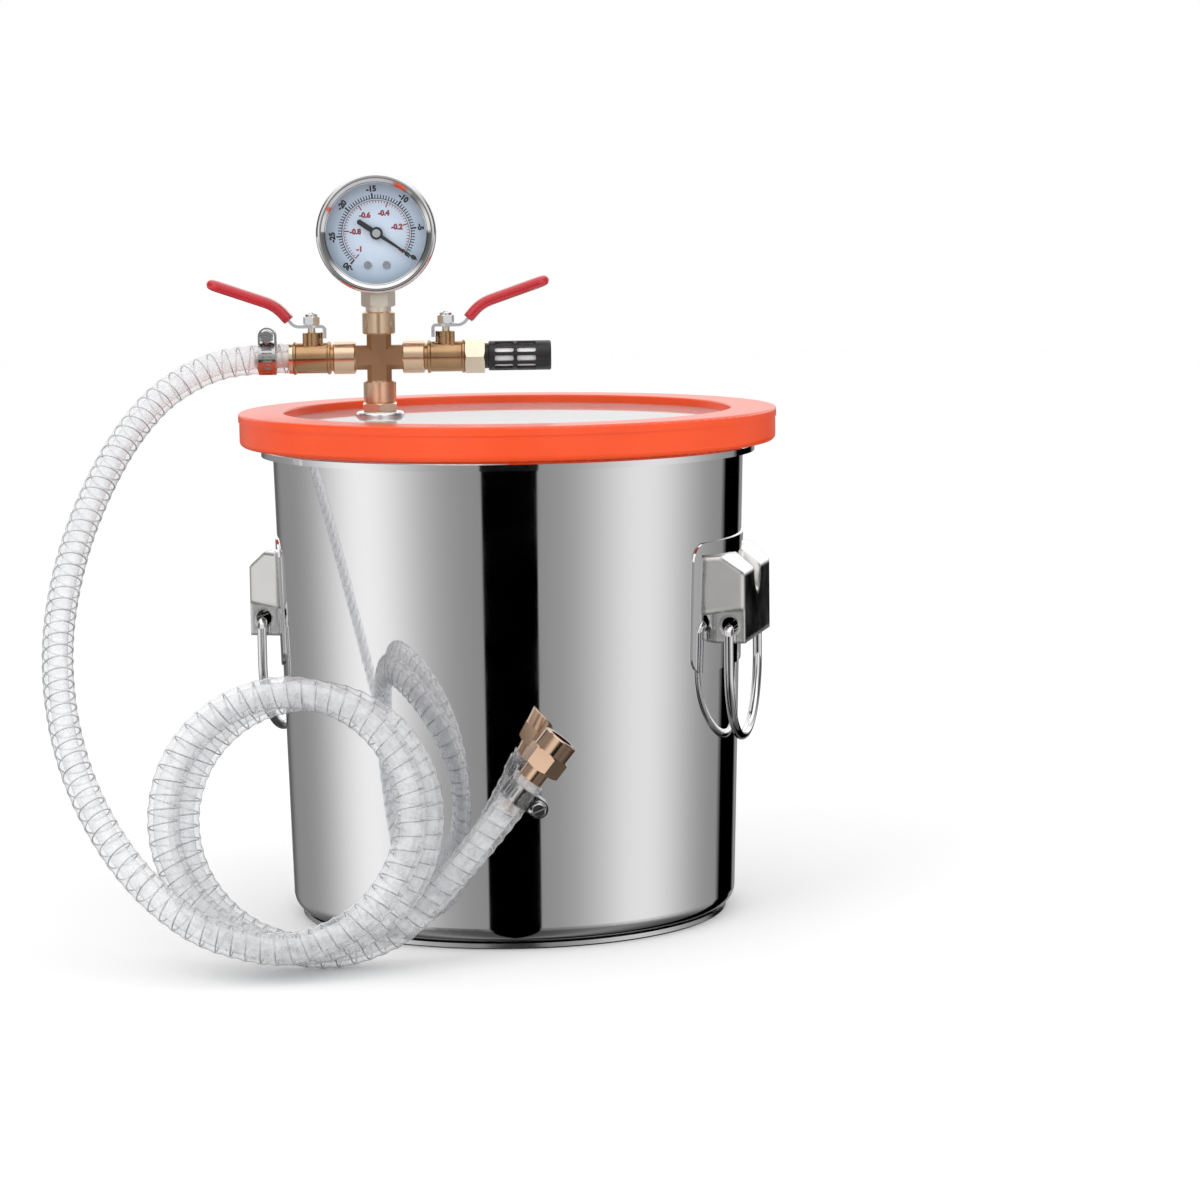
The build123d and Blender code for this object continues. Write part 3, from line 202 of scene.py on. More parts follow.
def surface(name, color, roughness, metallic=0.0):
    """New material with one Principled shader: (material, shader, principled)."""
    material, shader = empty_material(name)
    main = shader.node("BsdfPrincipled", Metallic=metallic)
    main.inputs["Base Color"].default_value = (*color, 1)
    main.inputs["Roughness"].default_value = roughness
    shader.finish(main.outputs[0])
    return material, shader, main


# ---------------------------------------------------------------- materials

GRAIN_DEPTH = 0.2 * MM      # the fine grain of every surface
METAL_SWING = 0.08          # how far a worn metal's roughness wanders
SOCKET_START = 12.3 * MM    # from the cross's middle
SOCKET_EDGE = 0.2 * MM
BEZEL_SHADE_LINES = (27.4 * MM, 29.6 * MM)    # radii of the two painted shade lines, from the gauge's middle
BEZEL_SHADE_LINE_WIDTH = 0.3 * MM
BEZEL_MARGIN = 1.0 * MM     # bare metal kept on each side of the two painted shade lines
BEZEL_TONE = 0.76
# how far from the gauge's middle the painted shade of the dial's rim reaches
DIAL_SHADE_REACH = 30 * MM


def worn_metal(name, color, roughness, grain=900.0, bump=0.05, shade=0.08):
    """Metal whose polish and tone wander a little, with a fine grain."""
    material, shader, main = surface(name, color, roughness, metallic=1.0)
    slow = shader.noise(60.0)
    shader.link(
        shader.spread(slow, roughness - METAL_SWING / 2, roughness + METAL_SWING / 2),
        main.inputs["Roughness"])
    low = tuple(c * (1 - shade) for c in color)
    high = tuple(min(1, c * (1 + shade)) for c in color)
    shader.link(shader.ramp(slow, [(0.3, low), (0.7, high)]), main.inputs["Base Color"])
    fine = shader.noise(grain, detail=2.0)
    shader.link(shader.bump(fine, bump, GRAIN_DEPTH), main.inputs["Normal"])
    return material


def polished_steel():
    """Mirror-polished sheet with the faint vertical waviness of a drawn pot."""
    material, shader, main = surface("polished_steel", (0.86, 0.86, 0.87), 0.05, metallic=1.0)
    waves = shader.noise(5.0, detail=1.0, stretch=(1, 1, 0.25))
    shader.link(shader.bump(waves, 0.12, 4 * MM), main.inputs["Normal"])
    film = shader.noise(40.0, detail=2.0)
    shader.link(shader.spread(film, 0.035, 0.065), main.inputs["Roughness"])
    return material


def stamped_steel():
    """Polished sheet whose pressed edges catch the light softly."""
    material, shader, main = surface("stamped_steel", (0.80, 0.79, 0.78), 0.1, metallic=1.0)
    soft = shader.node("Bevel", samples=6, Radius=2.6 * MM)
    waves = shader.noise(35.0, detail=1.0)
    shader.link(shader.bump(waves, 0.2, 1 * MM, Normal=soft.outputs[0]), main.inputs["Normal"])
    film = shader.noise(60.0, detail=2.0)
    shader.link(shader.spread(film, 0.08, 0.14), main.inputs["Roughness"])
    return material


def silicone():
    """Satin orange silicone with a slight bloom."""
    material, shader, main = surface("orange_silicone", (0.84, 0.07, 0.007), 0.28)
    main.inputs["Specular IOR Level"].default_value = 0.55
    tone = shader.noise(25.0, detail=2.0)
    shader.link(
        shader.ramp(tone, [(0.3, (0.81, 0.065, 0.006)), (0.7, (0.87, 0.077, 0.009))]),
        main.inputs["Base Color"])
    fine = shader.noise(1400.0, detail=2.0)
    shader.link(shader.bump(fine, 0.05, GRAIN_DEPTH), main.inputs["Normal"])
    return material


def seen_through(shader, density, through, milk, mirror):
    """Milk of some density over what is seen through, under a gloss."""
    body = shader.mix("shader", density, through.outputs[0], milk.outputs[0])
    shader.finish(shader.mix("shader", shader.gloss_share(), body, mirror.outputs[0]))


def clear(name, tint, gloss, haze, edge_haze):
    """Clear sheet: mostly seen through, milkier towards grazing angles, and mirroring as glass does."""
    material, shader = empty_material(name)
    through = shader.node("BsdfTransparent", Color=(*tint, 1))
    milk = shader.node("BsdfPrincipled", Base_Color=(*tint, 1), Roughness=0.3)
    facing = shader.node("LayerWeight", Blend=0.35).outputs["Facing"]
    cloud = shader.noise(30.0, detail=2.0)
    thick = shader.spread(facing, haze, edge_haze, span=(0.0, 1.0))
    density = shader.math("MULTIPLY", thick, shader.spread(cloud, 0.96, 1.04))
    mirror = shader.node("BsdfGlossy", Roughness=gloss)
    seen_through(shader, density, through, milk, mirror)
    return material


def hose_skin(name, stops, color, roughness):
    """One face of the clear hose wall; stops give how dense it looks from straight on to edge on."""
    material, shader = empty_material(name)
    milk = shader.node("BsdfPrincipled", Base_Color=(*color, 1), Roughness=roughness)
    through = shader.node("BsdfTransparent", Color=(0.98, 0.985, 0.99, 1))
    edge = shader.node("LayerWeight", Blend=0.5).outputs["Facing"]
    haze = shader.noise(170.0, detail=3.0)
    density = shader.math("ADD", shader.ramp(edge, stops), shader.spread(haze, -0.12, 0.12))
    ripple = shader.bump(shader.noise(260.0, detail=2.0), 0.5, 0.6 * MM)
    mirror = shader.node("BsdfGlossy", Roughness=0.08, Normal=ripple)
    seen_through(shader, density, through, milk, mirror)
    return material


def plastic(name, color, roughness, bump=0.12, coat=0.0):
    """Moulded or dipped plastic with a fine skin."""
    material, shader, main = surface(name, color, roughness)
    main.inputs["Coat Weight"].default_value = coat
    main.inputs["Coat Roughness"].default_value = 0.08
    tone = shader.noise(35.0)
    low = tuple(c * 0.9 for c in color)
    high = tuple(min(1, c * 1.1) for c in color)
    shader.link(shader.ramp(tone, [(0.3, low), (0.7, high)]), main.inputs["Base Color"])
    fine = shader.noise(700.0, detail=2.0)
    shader.link(shader.bump(fine, bump, GRAIN_DEPTH), main.inputs["Normal"])
    return material


def dial_face():
    """Pale enamel with painted shade: a little darker towards its rim, where the bezel shades it."""
    material, shader, main = surface("dial_face", (0.7, 0.8, 0.9), 0.5)
    away = shader.vector("DISTANCE", shader.place(), GAUGE).outputs["Value"]
    share = shader.spread(away, 0.0, 1.0, span=(0.0, DIAL_SHADE_REACH))
    # painted shade: the dial's colour darkens from its middle to its rim
    shader.link(
        shader.ramp(share, [(0.3, (0.80, 0.90, 1.0)), (1.0, (0.56, 0.66, 0.78))]),
        main.inputs["Base Color"])
    return material


def bezel_chrome():
    """Bright ring with two painted shade lines where its rolled edge curls."""
    material, shader, main = surface("bezel_chrome", (0.76, 0.76, 0.77), 0.09, metallic=1.0)
    flat = shader.vector("MULTIPLY", shader.place(), (1, 0, 1)).outputs[0]
    away = shader.vector("DISTANCE", flat, (GAUGE[0], 0, GAUGE[2])).outputs["Value"]
    start, end = BEZEL_SHADE_LINES[0] - BEZEL_MARGIN, BEZEL_SHADE_LINES[1] + BEZEL_MARGIN
    share = shader.spread(away, 0.0, 1.0, span=(start, end))
    line = BEZEL_SHADE_LINE_WIDTH / (end - start)
    stops = []
    # painted shade: two near-black lines in the ring's colour, standing in for the shade in its rolled edge
    for radius, tone in zip(BEZEL_SHADE_LINES, (0.05, 0.08)):
        place = (radius - start) / (end - start)
        stops += [(place - line, BEZEL_TONE), (place, tone), (place + line, BEZEL_TONE)]
    shader.link(shader.ramp(share, stops), main.inputs["Base Color"])
    film = shader.noise(50.0)
    shader.link(shader.spread(film, 0.07, 0.13), main.inputs["Roughness"])
    return material


def cross_brass():
    """Cast middle, sockets turned bright."""
    material, shader, main = surface("cross_brass", (0.68, 0.44, 0.25), 0.3, metallic=1.0)
    away = shader.vector("SUBTRACT", shader.place(), CROSS).outputs[0]
    x, _, z = shader.node("SeparateXYZ", Vector=shader.vector("ABSOLUTE", away).outputs[0]).outputs
    turned = shader.spread(
        shader.math("MAXIMUM", x, z), 0.0, 1.0, span=(SOCKET_START, SOCKET_START + SOCKET_EDGE))
    shader.link(
        shader.ramp(turned, [(0.0, (0.45, 0.27, 0.15)), (1.0, (0.86, 0.62, 0.42))]),
        main.inputs["Base Color"])
    slow = shader.noise(70.0)
    rough = shader.math("SUBTRACT", shader.spread(slow, 0.3, 0.4), shader.math("MULTIPLY", turned, 0.16))
    shader.link(rough, main.inputs["Roughness"])
    fine = shader.noise(2200.0, detail=2.0)
    shader.link(shader.bump(fine, 0.18, GRAIN_DEPTH), main.inputs["Normal"])
    return material


def middle(node):
    """Middle of a node's box."""
    low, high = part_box(node)
    return tuple((a + b) / 2 for a, b in zip(low, high))


CROSS = middle("cross")
dial_middle = middle("gauge_dial")
GAUGE = (dial_middle[0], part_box("gauge_dial")[0][1], dial_middle[2])    # on the dial's face

MATERIALS = {
    "polished_steel": polished_steel(),
    "satin_steel": worn_metal("satin_steel", (0.66, 0.66, 0.66), 0.2),
    "plated_steel": worn_metal("plated_steel", (0.84, 0.86, 0.88), 0.18),
    "orange_silicone": silicone(),
    "clear_lid": clear("clear_lid", (0.92, 0.93, 0.94), 0.03, 0.42, 0.9),
    "cast_brass": worn_metal(
        "cast_brass", (0.52, 0.32, 0.17), 0.2, grain=2200.0, bump=0.2, shade=0.12),
    "turned_brass": worn_metal("turned_brass", (0.95, 0.80, 0.62), 0.2),
    "black_plastic": plastic("black_plastic", (0.012, 0.012, 0.014), 0.32),
    "white_felt": plastic("white_felt", (0.95, 0.96, 0.97), 0.9, bump=0.4),
    "white_ptfe": plastic("white_ptfe", (0.9, 0.9, 0.88), 0.5),
    "black_rubber": plastic("black_rubber", (0.02, 0.02, 0.02), 0.6),
    "red_vinyl": plastic("red_vinyl", (0.50, 0.014, 0.024), 0.28, coat=0.9, bump=0.03),
    "clear_hose": hose_skin(
        "hose_outside", [(0.0, 0.2), (0.5, 0.26), (0.8, 0.45), (1.0, 0.7)], (0.95, 0.955, 0.96), 0.2),
    "gauge_metal": worn_metal("gauge_metal", (0.76, 0.76, 0.77), 0.1, bump=0.02),
    "gauge_black": plastic("gauge_black", (0.015, 0.015, 0.016), 0.4),
    "gauge_glass": clear("gauge_glass", (0.97, 0.985, 1.0), 0.02, 0.0, 0.05),
    "dial_face": dial_face(),
    "needle_black": plastic("needle_black", (0.012, 0.012, 0.012), 0.35),
    "movement_brass": worn_metal("movement_brass", (0.75, 0.58, 0.30), 0.3),
}

# finishes of their own within a slot
NODE_MATERIALS = {
    "cross": cross_brass(),
    "gauge_stem": worn_metal("pale_brass", (1.0, 0.90, 0.78), 0.38),
    "dial_screws": worn_metal("dial_screw_steel", (0.80, 0.82, 0.84), 0.25),
    "hose_end_fitting": worn_metal("copper_brass", (0.72, 0.49, 0.34), 0.16),
    "gauge_bezel": bezel_chrome(),
    "needle_arbor": worn_metal("arbor_steel", (0.93, 0.93, 0.92), 0.45),
}
clamp = worn_metal("clamp_steel", (0.52, 0.52, 0.53), 0.2)
for place in ("upper", "lower"):
    for piece in ("band", "housing", "screw"):
        NODE_MATERIALS[f"{place}_clamp_{piece}"] = clamp
zinc = worn_metal("zinc_strap", (0.86, 0.90, 0.95), 0.34)
stamped = stamped_steel()
for side in ("left", "right"):
    NODE_MATERIALS[f"{side}_handle_bracket"] = stamped
    NODE_MATERIALS[f"{side}_lever"] = zinc

for part in frame["record"]["subparts"]:
    mesh = frame["nodes"][part["node"]].data
    mesh.materials.clear()
    mesh.materials.append(NODE_MATERIALS.get(part["node"], MATERIALS[part["material_slot"]]))


# ---------------------------------------------------------------- hose

HOSE_RADIUS = 8.15 * MM
HOSE_BORE = 5.1 * MM
DROP_ROUTE = (
    (-0.1172, 0.020, 0.298),
    (-0.145, 0.020, 0.298),
    (-0.1675, 0.015, 0.291),
    (-0.190, 0.004, 0.2765),
    (-0.211, -0.024, 0.247),
    (-0.228, -0.063, 0.203),
    (-0.233, -0.107, 0.154),
    (-0.221, -0.149, 0.104),
    (-0.194, -0.178, 0.060),
    (-0.160, -0.190, 0.030),
    (-0.128, -0.188, 0.0185),
)
TAIL_ROUTE = (
    (-0.078, -0.152, 0.0092),
    (-0.044, -0.152, 0.027),
    (0.00853, -0.152, 0.0945),
)
LINE_STEP = 1.2 * MM
NURBS_STEPS = 24            # between two of the route's points
HOSE_SIDES = 32
COIL_CENTRE = Vector((-0.117, -0.171, 0.080))
COIL_RADIUS = 0.0659
COIL_LEAN = radians(14.0)
COIL_PITCH = Vector((0.0085, 0.0166, -0.0042))
COIL_START = 10.0           # degrees past the lowest point of the first turn
COIL_END = 715.0
COIL_POINTS = 25
RIB_PITCH = 7.2 * MM
RIB_DEPTH = 0.5 * MM
WIRE_RADIUS = 0.36 * MM
WIRE_SIDES = 6
WIRE_POINTS = 22            # in each turn
WIRE_PLACE = 7.5 * MM       # from the hose's middle


def coil_points():
    """Points of the leaning turns, from the bottom of the first round to the bottom of the last."""
    upright = Vector((0, sin(COIL_LEAN), cos(COIL_LEAN)))
    points = []
    for index in range(COIL_POINTS):
        turn = radians(COIL_START + (COIL_END - COIL_START) * index / (COIL_POINTS - 1))
        across = Vector((COIL_RADIUS * sin(turn), 0, 0))
        on_ring = COIL_CENTRE + across - upright * COIL_RADIUS * cos(turn)
        points.append(on_ring + COIL_PITCH * turn / (2 * pi))
    return points


def smooth_line(points):
    """Points along the NURBS curve that has these control points."""
    data = bpy.data.curves.new("route", "CURVE")
    data.dimensions = "3D"
    data.resolution_u = NURBS_STEPS
    spline = data.splines.new("NURBS")
    spline.points.add(len(points) - 1)
    for target, point in zip(spline.points, points):
        target.co = (*point, 1)
    spline.order_u = 3
    spline.use_endpoint_u = True
    curve = bpy.data.objects.new("route", data)
    bpy.context.collection.objects.link(curve)
    bpy.context.view_layer.update()
    mesh = bpy.data.meshes.new_from_object(curve)
    line = [v.co.copy() for v in mesh.vertices]
    bpy.data.objects.remove(curve)
    bpy.data.curves.remove(data)
    bpy.data.meshes.remove(mesh)
    return line


def even_line(line, step):
    """The same line as points a step apart, and its length."""
    lengths = [0.0]
    for a, b in zip(line, line[1:]):
        lengths.append(lengths[-1] + (b - a).length)
    total = lengths[-1]
    count = round(total / step)
    points = []
    at = 0
    for index in range(count + 1):
        wanted = total * index / count
        while at < len(line) - 2 and lengths[at + 1] < wanted:
            at += 1
        share = (wanted - lengths[at]) / (lengths[at + 1] - lengths[at])
        points.append(line[at].lerp(line[at + 1], share))
    return points, total


def frames(points):
    """Two directions square to the line at each point, carried along it without twist."""
    side = Vector((0, 1, 0))
    result = []
    for index, point in enumerate(points):
        ahead = points[min(index + 1, len(points) - 1)] - points[max(index - 1, 0)]
        ahead.normalize()
        side = (side - ahead * side.dot(ahead)).normalized()
        result.append((point, side, ahead.cross(side)))
    return result


def new_piece(name, build, material, smooth=True, body="chamber"):
    """Object from a bmesh that build() fills, riding on a body."""
    mesh = bpy.data.meshes.new(name)
    form = bmesh.new()
    build(form)
    bmesh.ops.recalc_face_normals(form, faces=form.faces)
    for face in form.faces:
        face.smooth = smooth
    form.to_mesh(mesh)
    form.free()
    mesh.materials.append(material)
    piece = bpy.data.objects.new(name, mesh)
    bpy.context.collection.objects.link(piece)
    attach(piece, body)
    return piece


def sweep_rings(form, rings, closed=False):
    """Skin over rings of vertices: closed joins the last ring to the first, else both ends are capped."""
    rows = [[form.verts.new(place) for place in ring] for ring in rings]
    count = len(rows[0])
    pairs = list(zip(rows, rows[1:]))
    if closed:
        pairs.append((rows[-1], rows[0]))
    for near, far in pairs:
        for index in range(count):
            after = (index + 1) % count
            form.faces.new((near[index], near[after], far[after], far[index]))
    if not closed:
        form.faces.new(rows[0][::-1])
        form.faces.new(rows[-1])


def ring_round(place, sides, radius):
    """Ring of points round one place of a line; radius is a function of the turn."""
    point, side, over = place
    ring = []
    for corner in range(sides):
        turn = 2 * pi * corner / sides
        ring.append(point + (side * cos(turn) + over * sin(turn)) * radius(turn))
    return ring


def hose_rings(line):
    """Rings down the outside of the hose and back up its bore, with a rib that follows the wire."""
    step = (line[1][0] - line[0][0]).length
    rings = []
    for index, place in enumerate(line):
        crest = 2 * pi * index * step / RIB_PITCH
        rings.append(ring_round(
            place, HOSE_SIDES, lambda turn: HOSE_RADIUS - RIB_DEPTH / 2 * (1 - cos(turn - crest))))
    for place in reversed(line):
        rings.append(ring_round(place, HOSE_SIDES, lambda turn: HOSE_BORE))
    return rings


def fill_hose_wall(form, line):
    """Skin of the hose; the faces of the bore take the second material."""
    sweep_rings(form, hose_rings(line), closed=True)
    for index, face in enumerate(form.faces):
        face.material_index = 1 if index >= len(line) * HOSE_SIDES else 0


def wire_points(line, length):
    """Helix in the hose's wall."""
    count = int(length / RIB_PITCH * WIRE_POINTS)
    points = []
    for index in range(count + 1):
        share = index / count * (len(line) - 1)
        at = min(int(share), len(line) - 2)
        point = line[at][0].lerp(line[at + 1][0], share - at)
        side, over = line[at][1], line[at][2]
        turn = 2 * pi * index / WIRE_POINTS
        points.append(point + (side * cos(turn) + over * sin(turn)) * WIRE_PLACE)
    return points


def wire_rings(line, length):
    """Rings of the round wire along its helix."""
    helix = frames(wire_points(line, length))
    return [ring_round(place, WIRE_SIDES, lambda turn: WIRE_RADIUS) for place in helix]


def make_hose():
    """The hose and the wire in its wall."""
    route = [Vector(p) for p in DROP_ROUTE] + coil_points() + [Vector(p) for p in TAIL_ROUTE]
    points, length = even_line(smooth_line(route), LINE_STEP)
    line = frames(points)
    steel = worn_metal("hose_wire_steel", (0.55, 0.56, 0.58), 0.28)
    hose = new_piece(
        "hose_wall", lambda form: fill_hose_wall(form, line), MATERIALS["clear_hose"])
    bore = hose_skin("hose_bore", [(0.0, 0.3), (1.0, 0.5)], (0.96, 0.965, 0.97), 0.3)
    hose.data.materials.append(bore)
    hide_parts("hose_drop", "hose_coil", "hose_tail")
    wire = new_piece(
        "hose_wire", lambda form: sweep_rings(form, wire_rings(line, length)), steel)


make_hose()


# ---------------------------------------------------------------- lever grips

# along the lever: distance out from the stem and height above the pipe's middle
GRIP_ROUTE = ((0.0120, 0.02047), (0.0190, 0.02845), (0.0560, 0.04117))
GRIP_BEND = 0.006           # how far from its corner the bend starts
GRIP_STEPS = (4, 8, 24)     # before the bend, in it, and after it
GRIP_SIDES = 32
GRIP_HALF_WIDTH = 5.7 * MM
GRIP_HALF_THICKNESS = 3.1 * MM
GRIP_SQUARENESS = 0.62      # power of the section's round: 1 is an ellipse, less is squarer
GRIP_TIP_WIDTH = 0.12       # share of the width left at the very tip
GRIP_TIP_THICKNESS = 0.15
GRIP_TIP_POWER = 0.6        # the thickness draws in later than the width
GRIP_EDGE = 0.86            # share of the section at the edge towards the stem
GRIP_EDGE_LENGTH = 1.0 * MM
VALVE_REACH = 36.2 * MM     # from the cross to each lever's stem


def grip_line():
    """Points along the middle of a grip, with its bend rounded."""
    start, bend, end = (Vector((x, 0, z)) for x, z in GRIP_ROUTE)
    before = bend - (bend - start).normalized() * GRIP_BEND
    after = bend + (end - bend).normalized() * GRIP_BEND
    first, round_steps, last = GRIP_STEPS
    points = [start.lerp(before, k / first) for k in range(first)]
    for k in range(round_steps + 1):
        share = k / round_steps
        points.append(before.lerp(bend, share).lerp(bend.lerp(after, share), share))
    points += [after.lerp(end, k / last) for k in range(1, last + 1)]
    return points


def squarish(value):
    """Cosine or sine of a turn, pushed outwards so that the section is a rounded bar."""
    return abs(value) ** GRIP_SQUARENESS * (1 if value > 0 else -1)


def grip_rings(stem, side):
    """Rounded section along the line, drawn in to a round end at the tip and a soft edge at the start."""
    points = grip_line()
    total = sum((b - a).length for a, b in zip(points, points[1:]))
    gone = 0.0
    rings = []
    for index, point in enumerate(points):
        if index:
            gone += (point - points[index - 1]).length
        ahead = (points[min(index + 1, len(points) - 1)] - points[max(index - 1, 0)]).normalized()
        over = Vector((-ahead.z, 0, ahead.x))
        left = max(total - gone, 0.0)
        tip = min(left / GRIP_HALF_WIDTH, 1.0)
        full = (1 - (1 - tip) ** 2) ** 0.5
        edge = min(1.0, GRIP_EDGE + (1 - GRIP_EDGE) * gone / GRIP_EDGE_LENGTH)
        half_width = GRIP_HALF_WIDTH * max(full, GRIP_TIP_WIDTH) * edge
        half_thickness = GRIP_HALF_THICKNESS * max(full ** GRIP_TIP_POWER, GRIP_TIP_THICKNESS) * edge
        ring = []
        for corner in range(GRIP_SIDES):
            turn = 2 * pi * corner / GRIP_SIDES
            wide, thick = squarish(cos(turn)), squarish(sin(turn))
            place = point + Vector((0, wide * half_width, 0)) + over * thick * half_thickness
            ring.append(stem + Vector((place.x * side, place.y, place.z)))
        rings.append(ring)
    return rings


def make_grips():
    """Dipped grips with round ends, in place of the plain ones."""
    for name, side in (("left", -1), ("right", 1)):
        stem = Vector(CROSS) + Vector((VALVE_REACH * side, 0, 0))
        grip = new_piece(
            f"{name}_dipped_grip", lambda form: sweep_rings(form, grip_rings(stem, side)),
            MATERIALS["red_vinyl"], body=f"{name}_valve_lever")
        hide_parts(f"{name}_lever_grip")


make_grips()


# ---------------------------------------------------------------- dial print

SCALE_ZERO = -37.0          # degrees above the X axis, turning anticlockwise to the scale's end
SCALE_END = 229.0
PRINT_LIFT = 0.06 * MM
PRINT_WEIGHT = 0.24 * MM    # how far the numbers' outlines are thickened
OUTER_NUMBER_SIZE = 4.1 * MM
INNER_NUMBER_SIZE = 3.9 * MM
ARC_STEPS = 120

# each scale: its line's radius and width, the ticks, every how many a longer one,
# and (end radius, width) of the plain and the longer ticks
OUTER_SCALE = (18.6 * MM, 0.38 * MM, 60, 10, (20.7 * MM, 0.55 * MM), (21.6 * MM, 0.9 * MM))
INNER_SCALE = (17.6 * MM, 0.3 * MM, 50, 10, (16.2 * MM, 0.34 * MM), (14.7 * MM, 0.65 * MM))


def on_dial(radius, angle):
    """Point just in front of the dial at a radius and an angle in degrees."""
    x, y, z = GAUGE
    return Vector((x + radius * cos(radians(angle)), y - PRINT_LIFT, z + radius * sin(radians(angle))))


def scale_angle(share):
    """Angle of a share of the scale."""
    return SCALE_ZERO + (SCALE_END - SCALE_ZERO) * share


def tick(form, angle, start, end, width):
    """Radial bar."""
    across = Vector((-sin(radians(angle)), 0, cos(radians(angle)))) * width / 2
    near, far = on_dial(start, angle), on_dial(end, angle)
    corners = [form.verts.new(v) for v in (near - across, far - across, far + across, near + across)]
    form.faces.new(corners)


def arc(form, radius, width):
    """Thin line along the scale."""
    rows = []
    for index in range(ARC_STEPS + 1):
        angle = scale_angle(index / ARC_STEPS)
        rows.append([form.verts.new(on_dial(radius + side * width / 2, angle)) for side in (-1, 1)])
    for near, far in zip(rows, rows[1:]):
        form.faces.new((near[0], near[1], far[1], far[0]))


def fill_scale(form, scale):
    """Line with its ticks."""
    radius, width, count, every, plain, longer = scale
    arc(form, radius, width)
    for index in range(count + 1):
        end, thickness = plain if index % every else longer
        tick(form, scale_angle(index / count), radius, end, thickness)


def numeral(name, words, radius, angle, size, turn, material):
    """A number on the dial, as a flat mesh."""
    data = bpy.data.curves.new(name, "FONT")
    data.body = words
    data.size = size
    data.align_x = "CENTER"
    data.align_y = "CENTER"
    data.offset = PRINT_WEIGHT
    data.resolution_u = 4
    text = bpy.data.objects.new(name, data)
    bpy.context.collection.objects.link(text)
    text.matrix_world = (
        Matrix.Translation(on_dial(radius, angle))
        @ Matrix.Rotation(-radians(turn), 4, "Y")
        @ Matrix.Rotation(pi / 2, 4, "X")
    )
    data.materials.append(material)
    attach(text, "chamber")


def make_dial_print():
    """Both scales and their numbers: the outer ones stand on their scale, the inner ones are upright."""
    black = plastic("print_black", (0.012, 0.012, 0.015), 0.6)
    red = plastic("print_red", (0.36, 0.02, 0.035), 0.6)
    new_piece(
        "outer_scale", lambda form: fill_scale(form, OUTER_SCALE), black, smooth=False)
    new_piece(
        "inner_scale", lambda form: fill_scale(form, INNER_SCALE), red, smooth=False)
    for index in range(1, 7):
        angle = scale_angle(index / 6)
        name, words = f"outer_number_{index}", f"-{index * 5}"
        numeral(name, words, 23.7 * MM, angle, OUTER_NUMBER_SIZE, angle - 90, black)
    zero = scale_angle(0.012)       # moved off the end so that the needle leaves it free
    numeral("outer_number_0", "0", 23.4 * MM, zero, OUTER_NUMBER_SIZE, scale_angle(0) - 90, black)
    for index in range(1, 5):
        angle = scale_angle(index / 5)
        name, words = f"inner_number_{index}", f"-0.{index * 2}"
        numeral(name, words, 11.4 * MM, angle, INNER_NUMBER_SIZE, 0, red)
    numeral("inner_number_5", "-1", 12.6 * MM, scale_angle(0.975), INNER_NUMBER_SIZE, 0, red)


make_dial_print()


# ---------------------------------------------------------------- floor and light

# what is mirrored from round the studio: angles in degrees from the camera's side towards +X,
# brightness where white is 1
ROOM_LEVEL = 0.27
SOFT_BOXES = ((-75, 22, 0.70), (69, 22, 0.58))      # middle, fade, brightness over the room's
FLAG = (-163, 6, -0.15)                             # a dim stretch, given in the same way
GAPS = ((0, 13.3, 0.3), (144.5, 14, 2.5))           # unlit: middle, half width, fade of the edges
# above the horizon, as the manifold's and the gauge's metal mirrors it: (angle, brightness)
HIGH_CARDS = (
    (-180, 0.30), (-130, 0.45), (-105, 0.06), (-75, 0.08), (-50, 0.40), (-30, 1.0), (-13, 1.0),
    (-6, 0.45), (6, 0.45), (13, 1.0), (30, 1.0), (50, 0.40), (75, 0.06), (105, 0.08), (130, 0.45),
    (180, 0.30),
)
HORIZON = (-0.062, -0.052)          # heights of a direction between which low light gives way to high
GROUND = (-0.6, -0.3)               # heights between which it darkens to the floor
GROUND_LEVEL = 0.25
TOP_LIGHT = 1.3
LAMP_TARGET = (0, 0, 0.2)
PLAIN_LIGHT = 1.02
WHITE = (1, 1, 1, 1)


def soft_box(shader, azimuth, middle, fade, brightness):
    """Brightness that falls off to both sides of its middle."""
    off = shader.math("DIVIDE", shader.math("SUBTRACT", azimuth, radians(middle)), radians(fade))
    fall = shader.math("EXPONENT", shader.math("MULTIPLY", shader.math("MULTIPLY", off, off), -0.5))
    return shader.math("MULTIPLY", fall, brightness)


def low_light(shader, azimuth):
    """What the pot's wall mirrors by the direction round the object."""
    level = ROOM_LEVEL
    for box in (*SOFT_BOXES, FLAG):
        level = shader.math("ADD", level, soft_box(shader, azimuth, *box))
    for middle_angle, half, fade in GAPS:
        off = shader.math("ABSOLUTE", shader.math("SUBTRACT", azimuth, radians(middle_angle)))
        lit = shader.spread(off, 0.0, 1.0, span=(radians(half - fade), radians(half + fade)))
        level = shader.math("MULTIPLY", level, lit)
    return level


def high_light(shader, azimuth):
    """What the manifold and the gauge mirror by the direction round the object."""
    share = shader.math("MULTIPLY_ADD", azimuth, 1 / (2 * pi), 0.5)
    return shader.ramp(share, [((angle + 180) / 360, level) for angle, level in HIGH_CARDS])


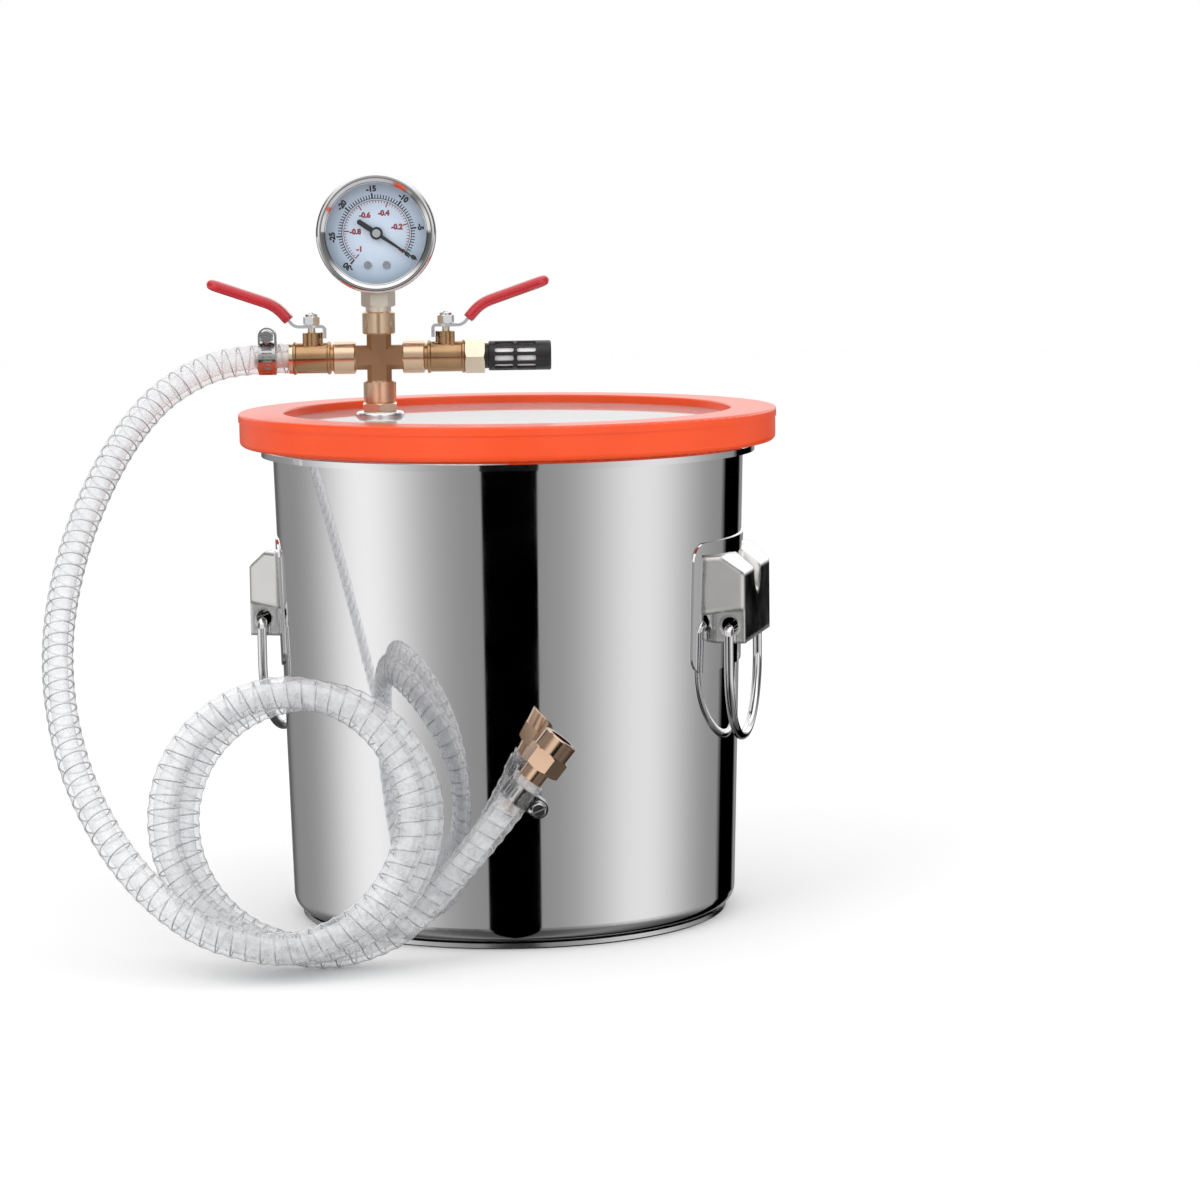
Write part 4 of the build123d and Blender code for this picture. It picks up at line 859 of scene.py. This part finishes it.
def make_world():
    """Plain soft light, white where it is seen directly or through glass, a studio for what is mirrored."""
    world = bpy.data.worlds.new("studio")
    bpy.context.scene.world = world
    world.use_nodes = True
    shader = Shader(world.node_tree)
    way = shader.node("TexCoord").outputs["Generated"]
    x, y, z = shader.node("SeparateXYZ", Vector=way).outputs
    azimuth = shader.math("ARCTAN2", x, shader.math("MULTIPLY", y, -1))
    rows = shader.mix(
        "color", shader.spread(z, 0.0, 1.0, span=HORIZON),
        low_light(shader, azimuth), high_light(shader, azimuth))
    around = shader.math("MULTIPLY", rows, shader.spread(z, GROUND_LEVEL, 1.0, span=GROUND))
    far_side, over_floor = (
        shader.ramp(y, [(0.55, 0.0), (0.85, 1.0)]), shader.ramp(z, [(0.01, 0.0), (0.09, 1.0)]))
    behind = shader.math("MULTIPLY", far_side, over_floor)
    above = shader.math("MAXIMUM", shader.ramp(z, [(0.45, 0.0), (0.75, 1.0)]), behind)
    mirrored = shader.mix("color", above, around, (TOP_LIGHT, TOP_LIGHT, TOP_LIGHT, 1))
    path = shader.node("LightPath")
    seen = shader.math("MAXIMUM", path.outputs["Is Camera Ray"], path.outputs["Is Transmission Ray"])
    plain = shader.node("Background", Color=WHITE, Strength=1.0)
    soft = shader.node("Background", Color=WHITE, Strength=PLAIN_LIGHT)
    studio = shader.node("Background", Color=mirrored, Strength=1.0)
    light = shader.mix("shader", path.outputs["Is Glossy Ray"], soft.outputs[0], studio.outputs[0])
    shader.finish(shader.mix("shader", seen, light, plain.outputs[0]), "World")


def make_floor():
    """Pale floor that keeps the object's shadow."""
    bpy.ops.mesh.primitive_plane_add(size=12)
    floor = bpy.context.active_object
    floor.name = "floor"
    material, shader = empty_material("floor")
    diffuse = shader.node("BsdfDiffuse", Color=(0.97, 0.97, 0.97, 1))
    shader.finish(diffuse.outputs[0])
    floor.data.materials.append(material)
    floor.visible_glossy = False


def make_lamp(name, place, size, power):
    """Square soft lamp aimed at the object."""
    data = bpy.data.lights.new(name, "AREA")
    data.size = size
    data.energy = power
    lamp = bpy.data.objects.new(name, data)
    bpy.context.collection.objects.link(lamp)
    lamp.location = place
    lamp.rotation_euler = (Vector(LAMP_TARGET) - Vector(place)).to_track_quat("-Z", "Y").to_euler()
    lamp.visible_glossy = False
    lamp.visible_camera = False


bpy.context.scene.view_settings.view_transform = "Standard"
make_world()
make_floor()
make_lamp("key", (-1.4, -1.6, 1.9), size=1.4, power=14)
make_lamp("fill", (1.7, -0.9, 1.4), size=1.6, power=6)
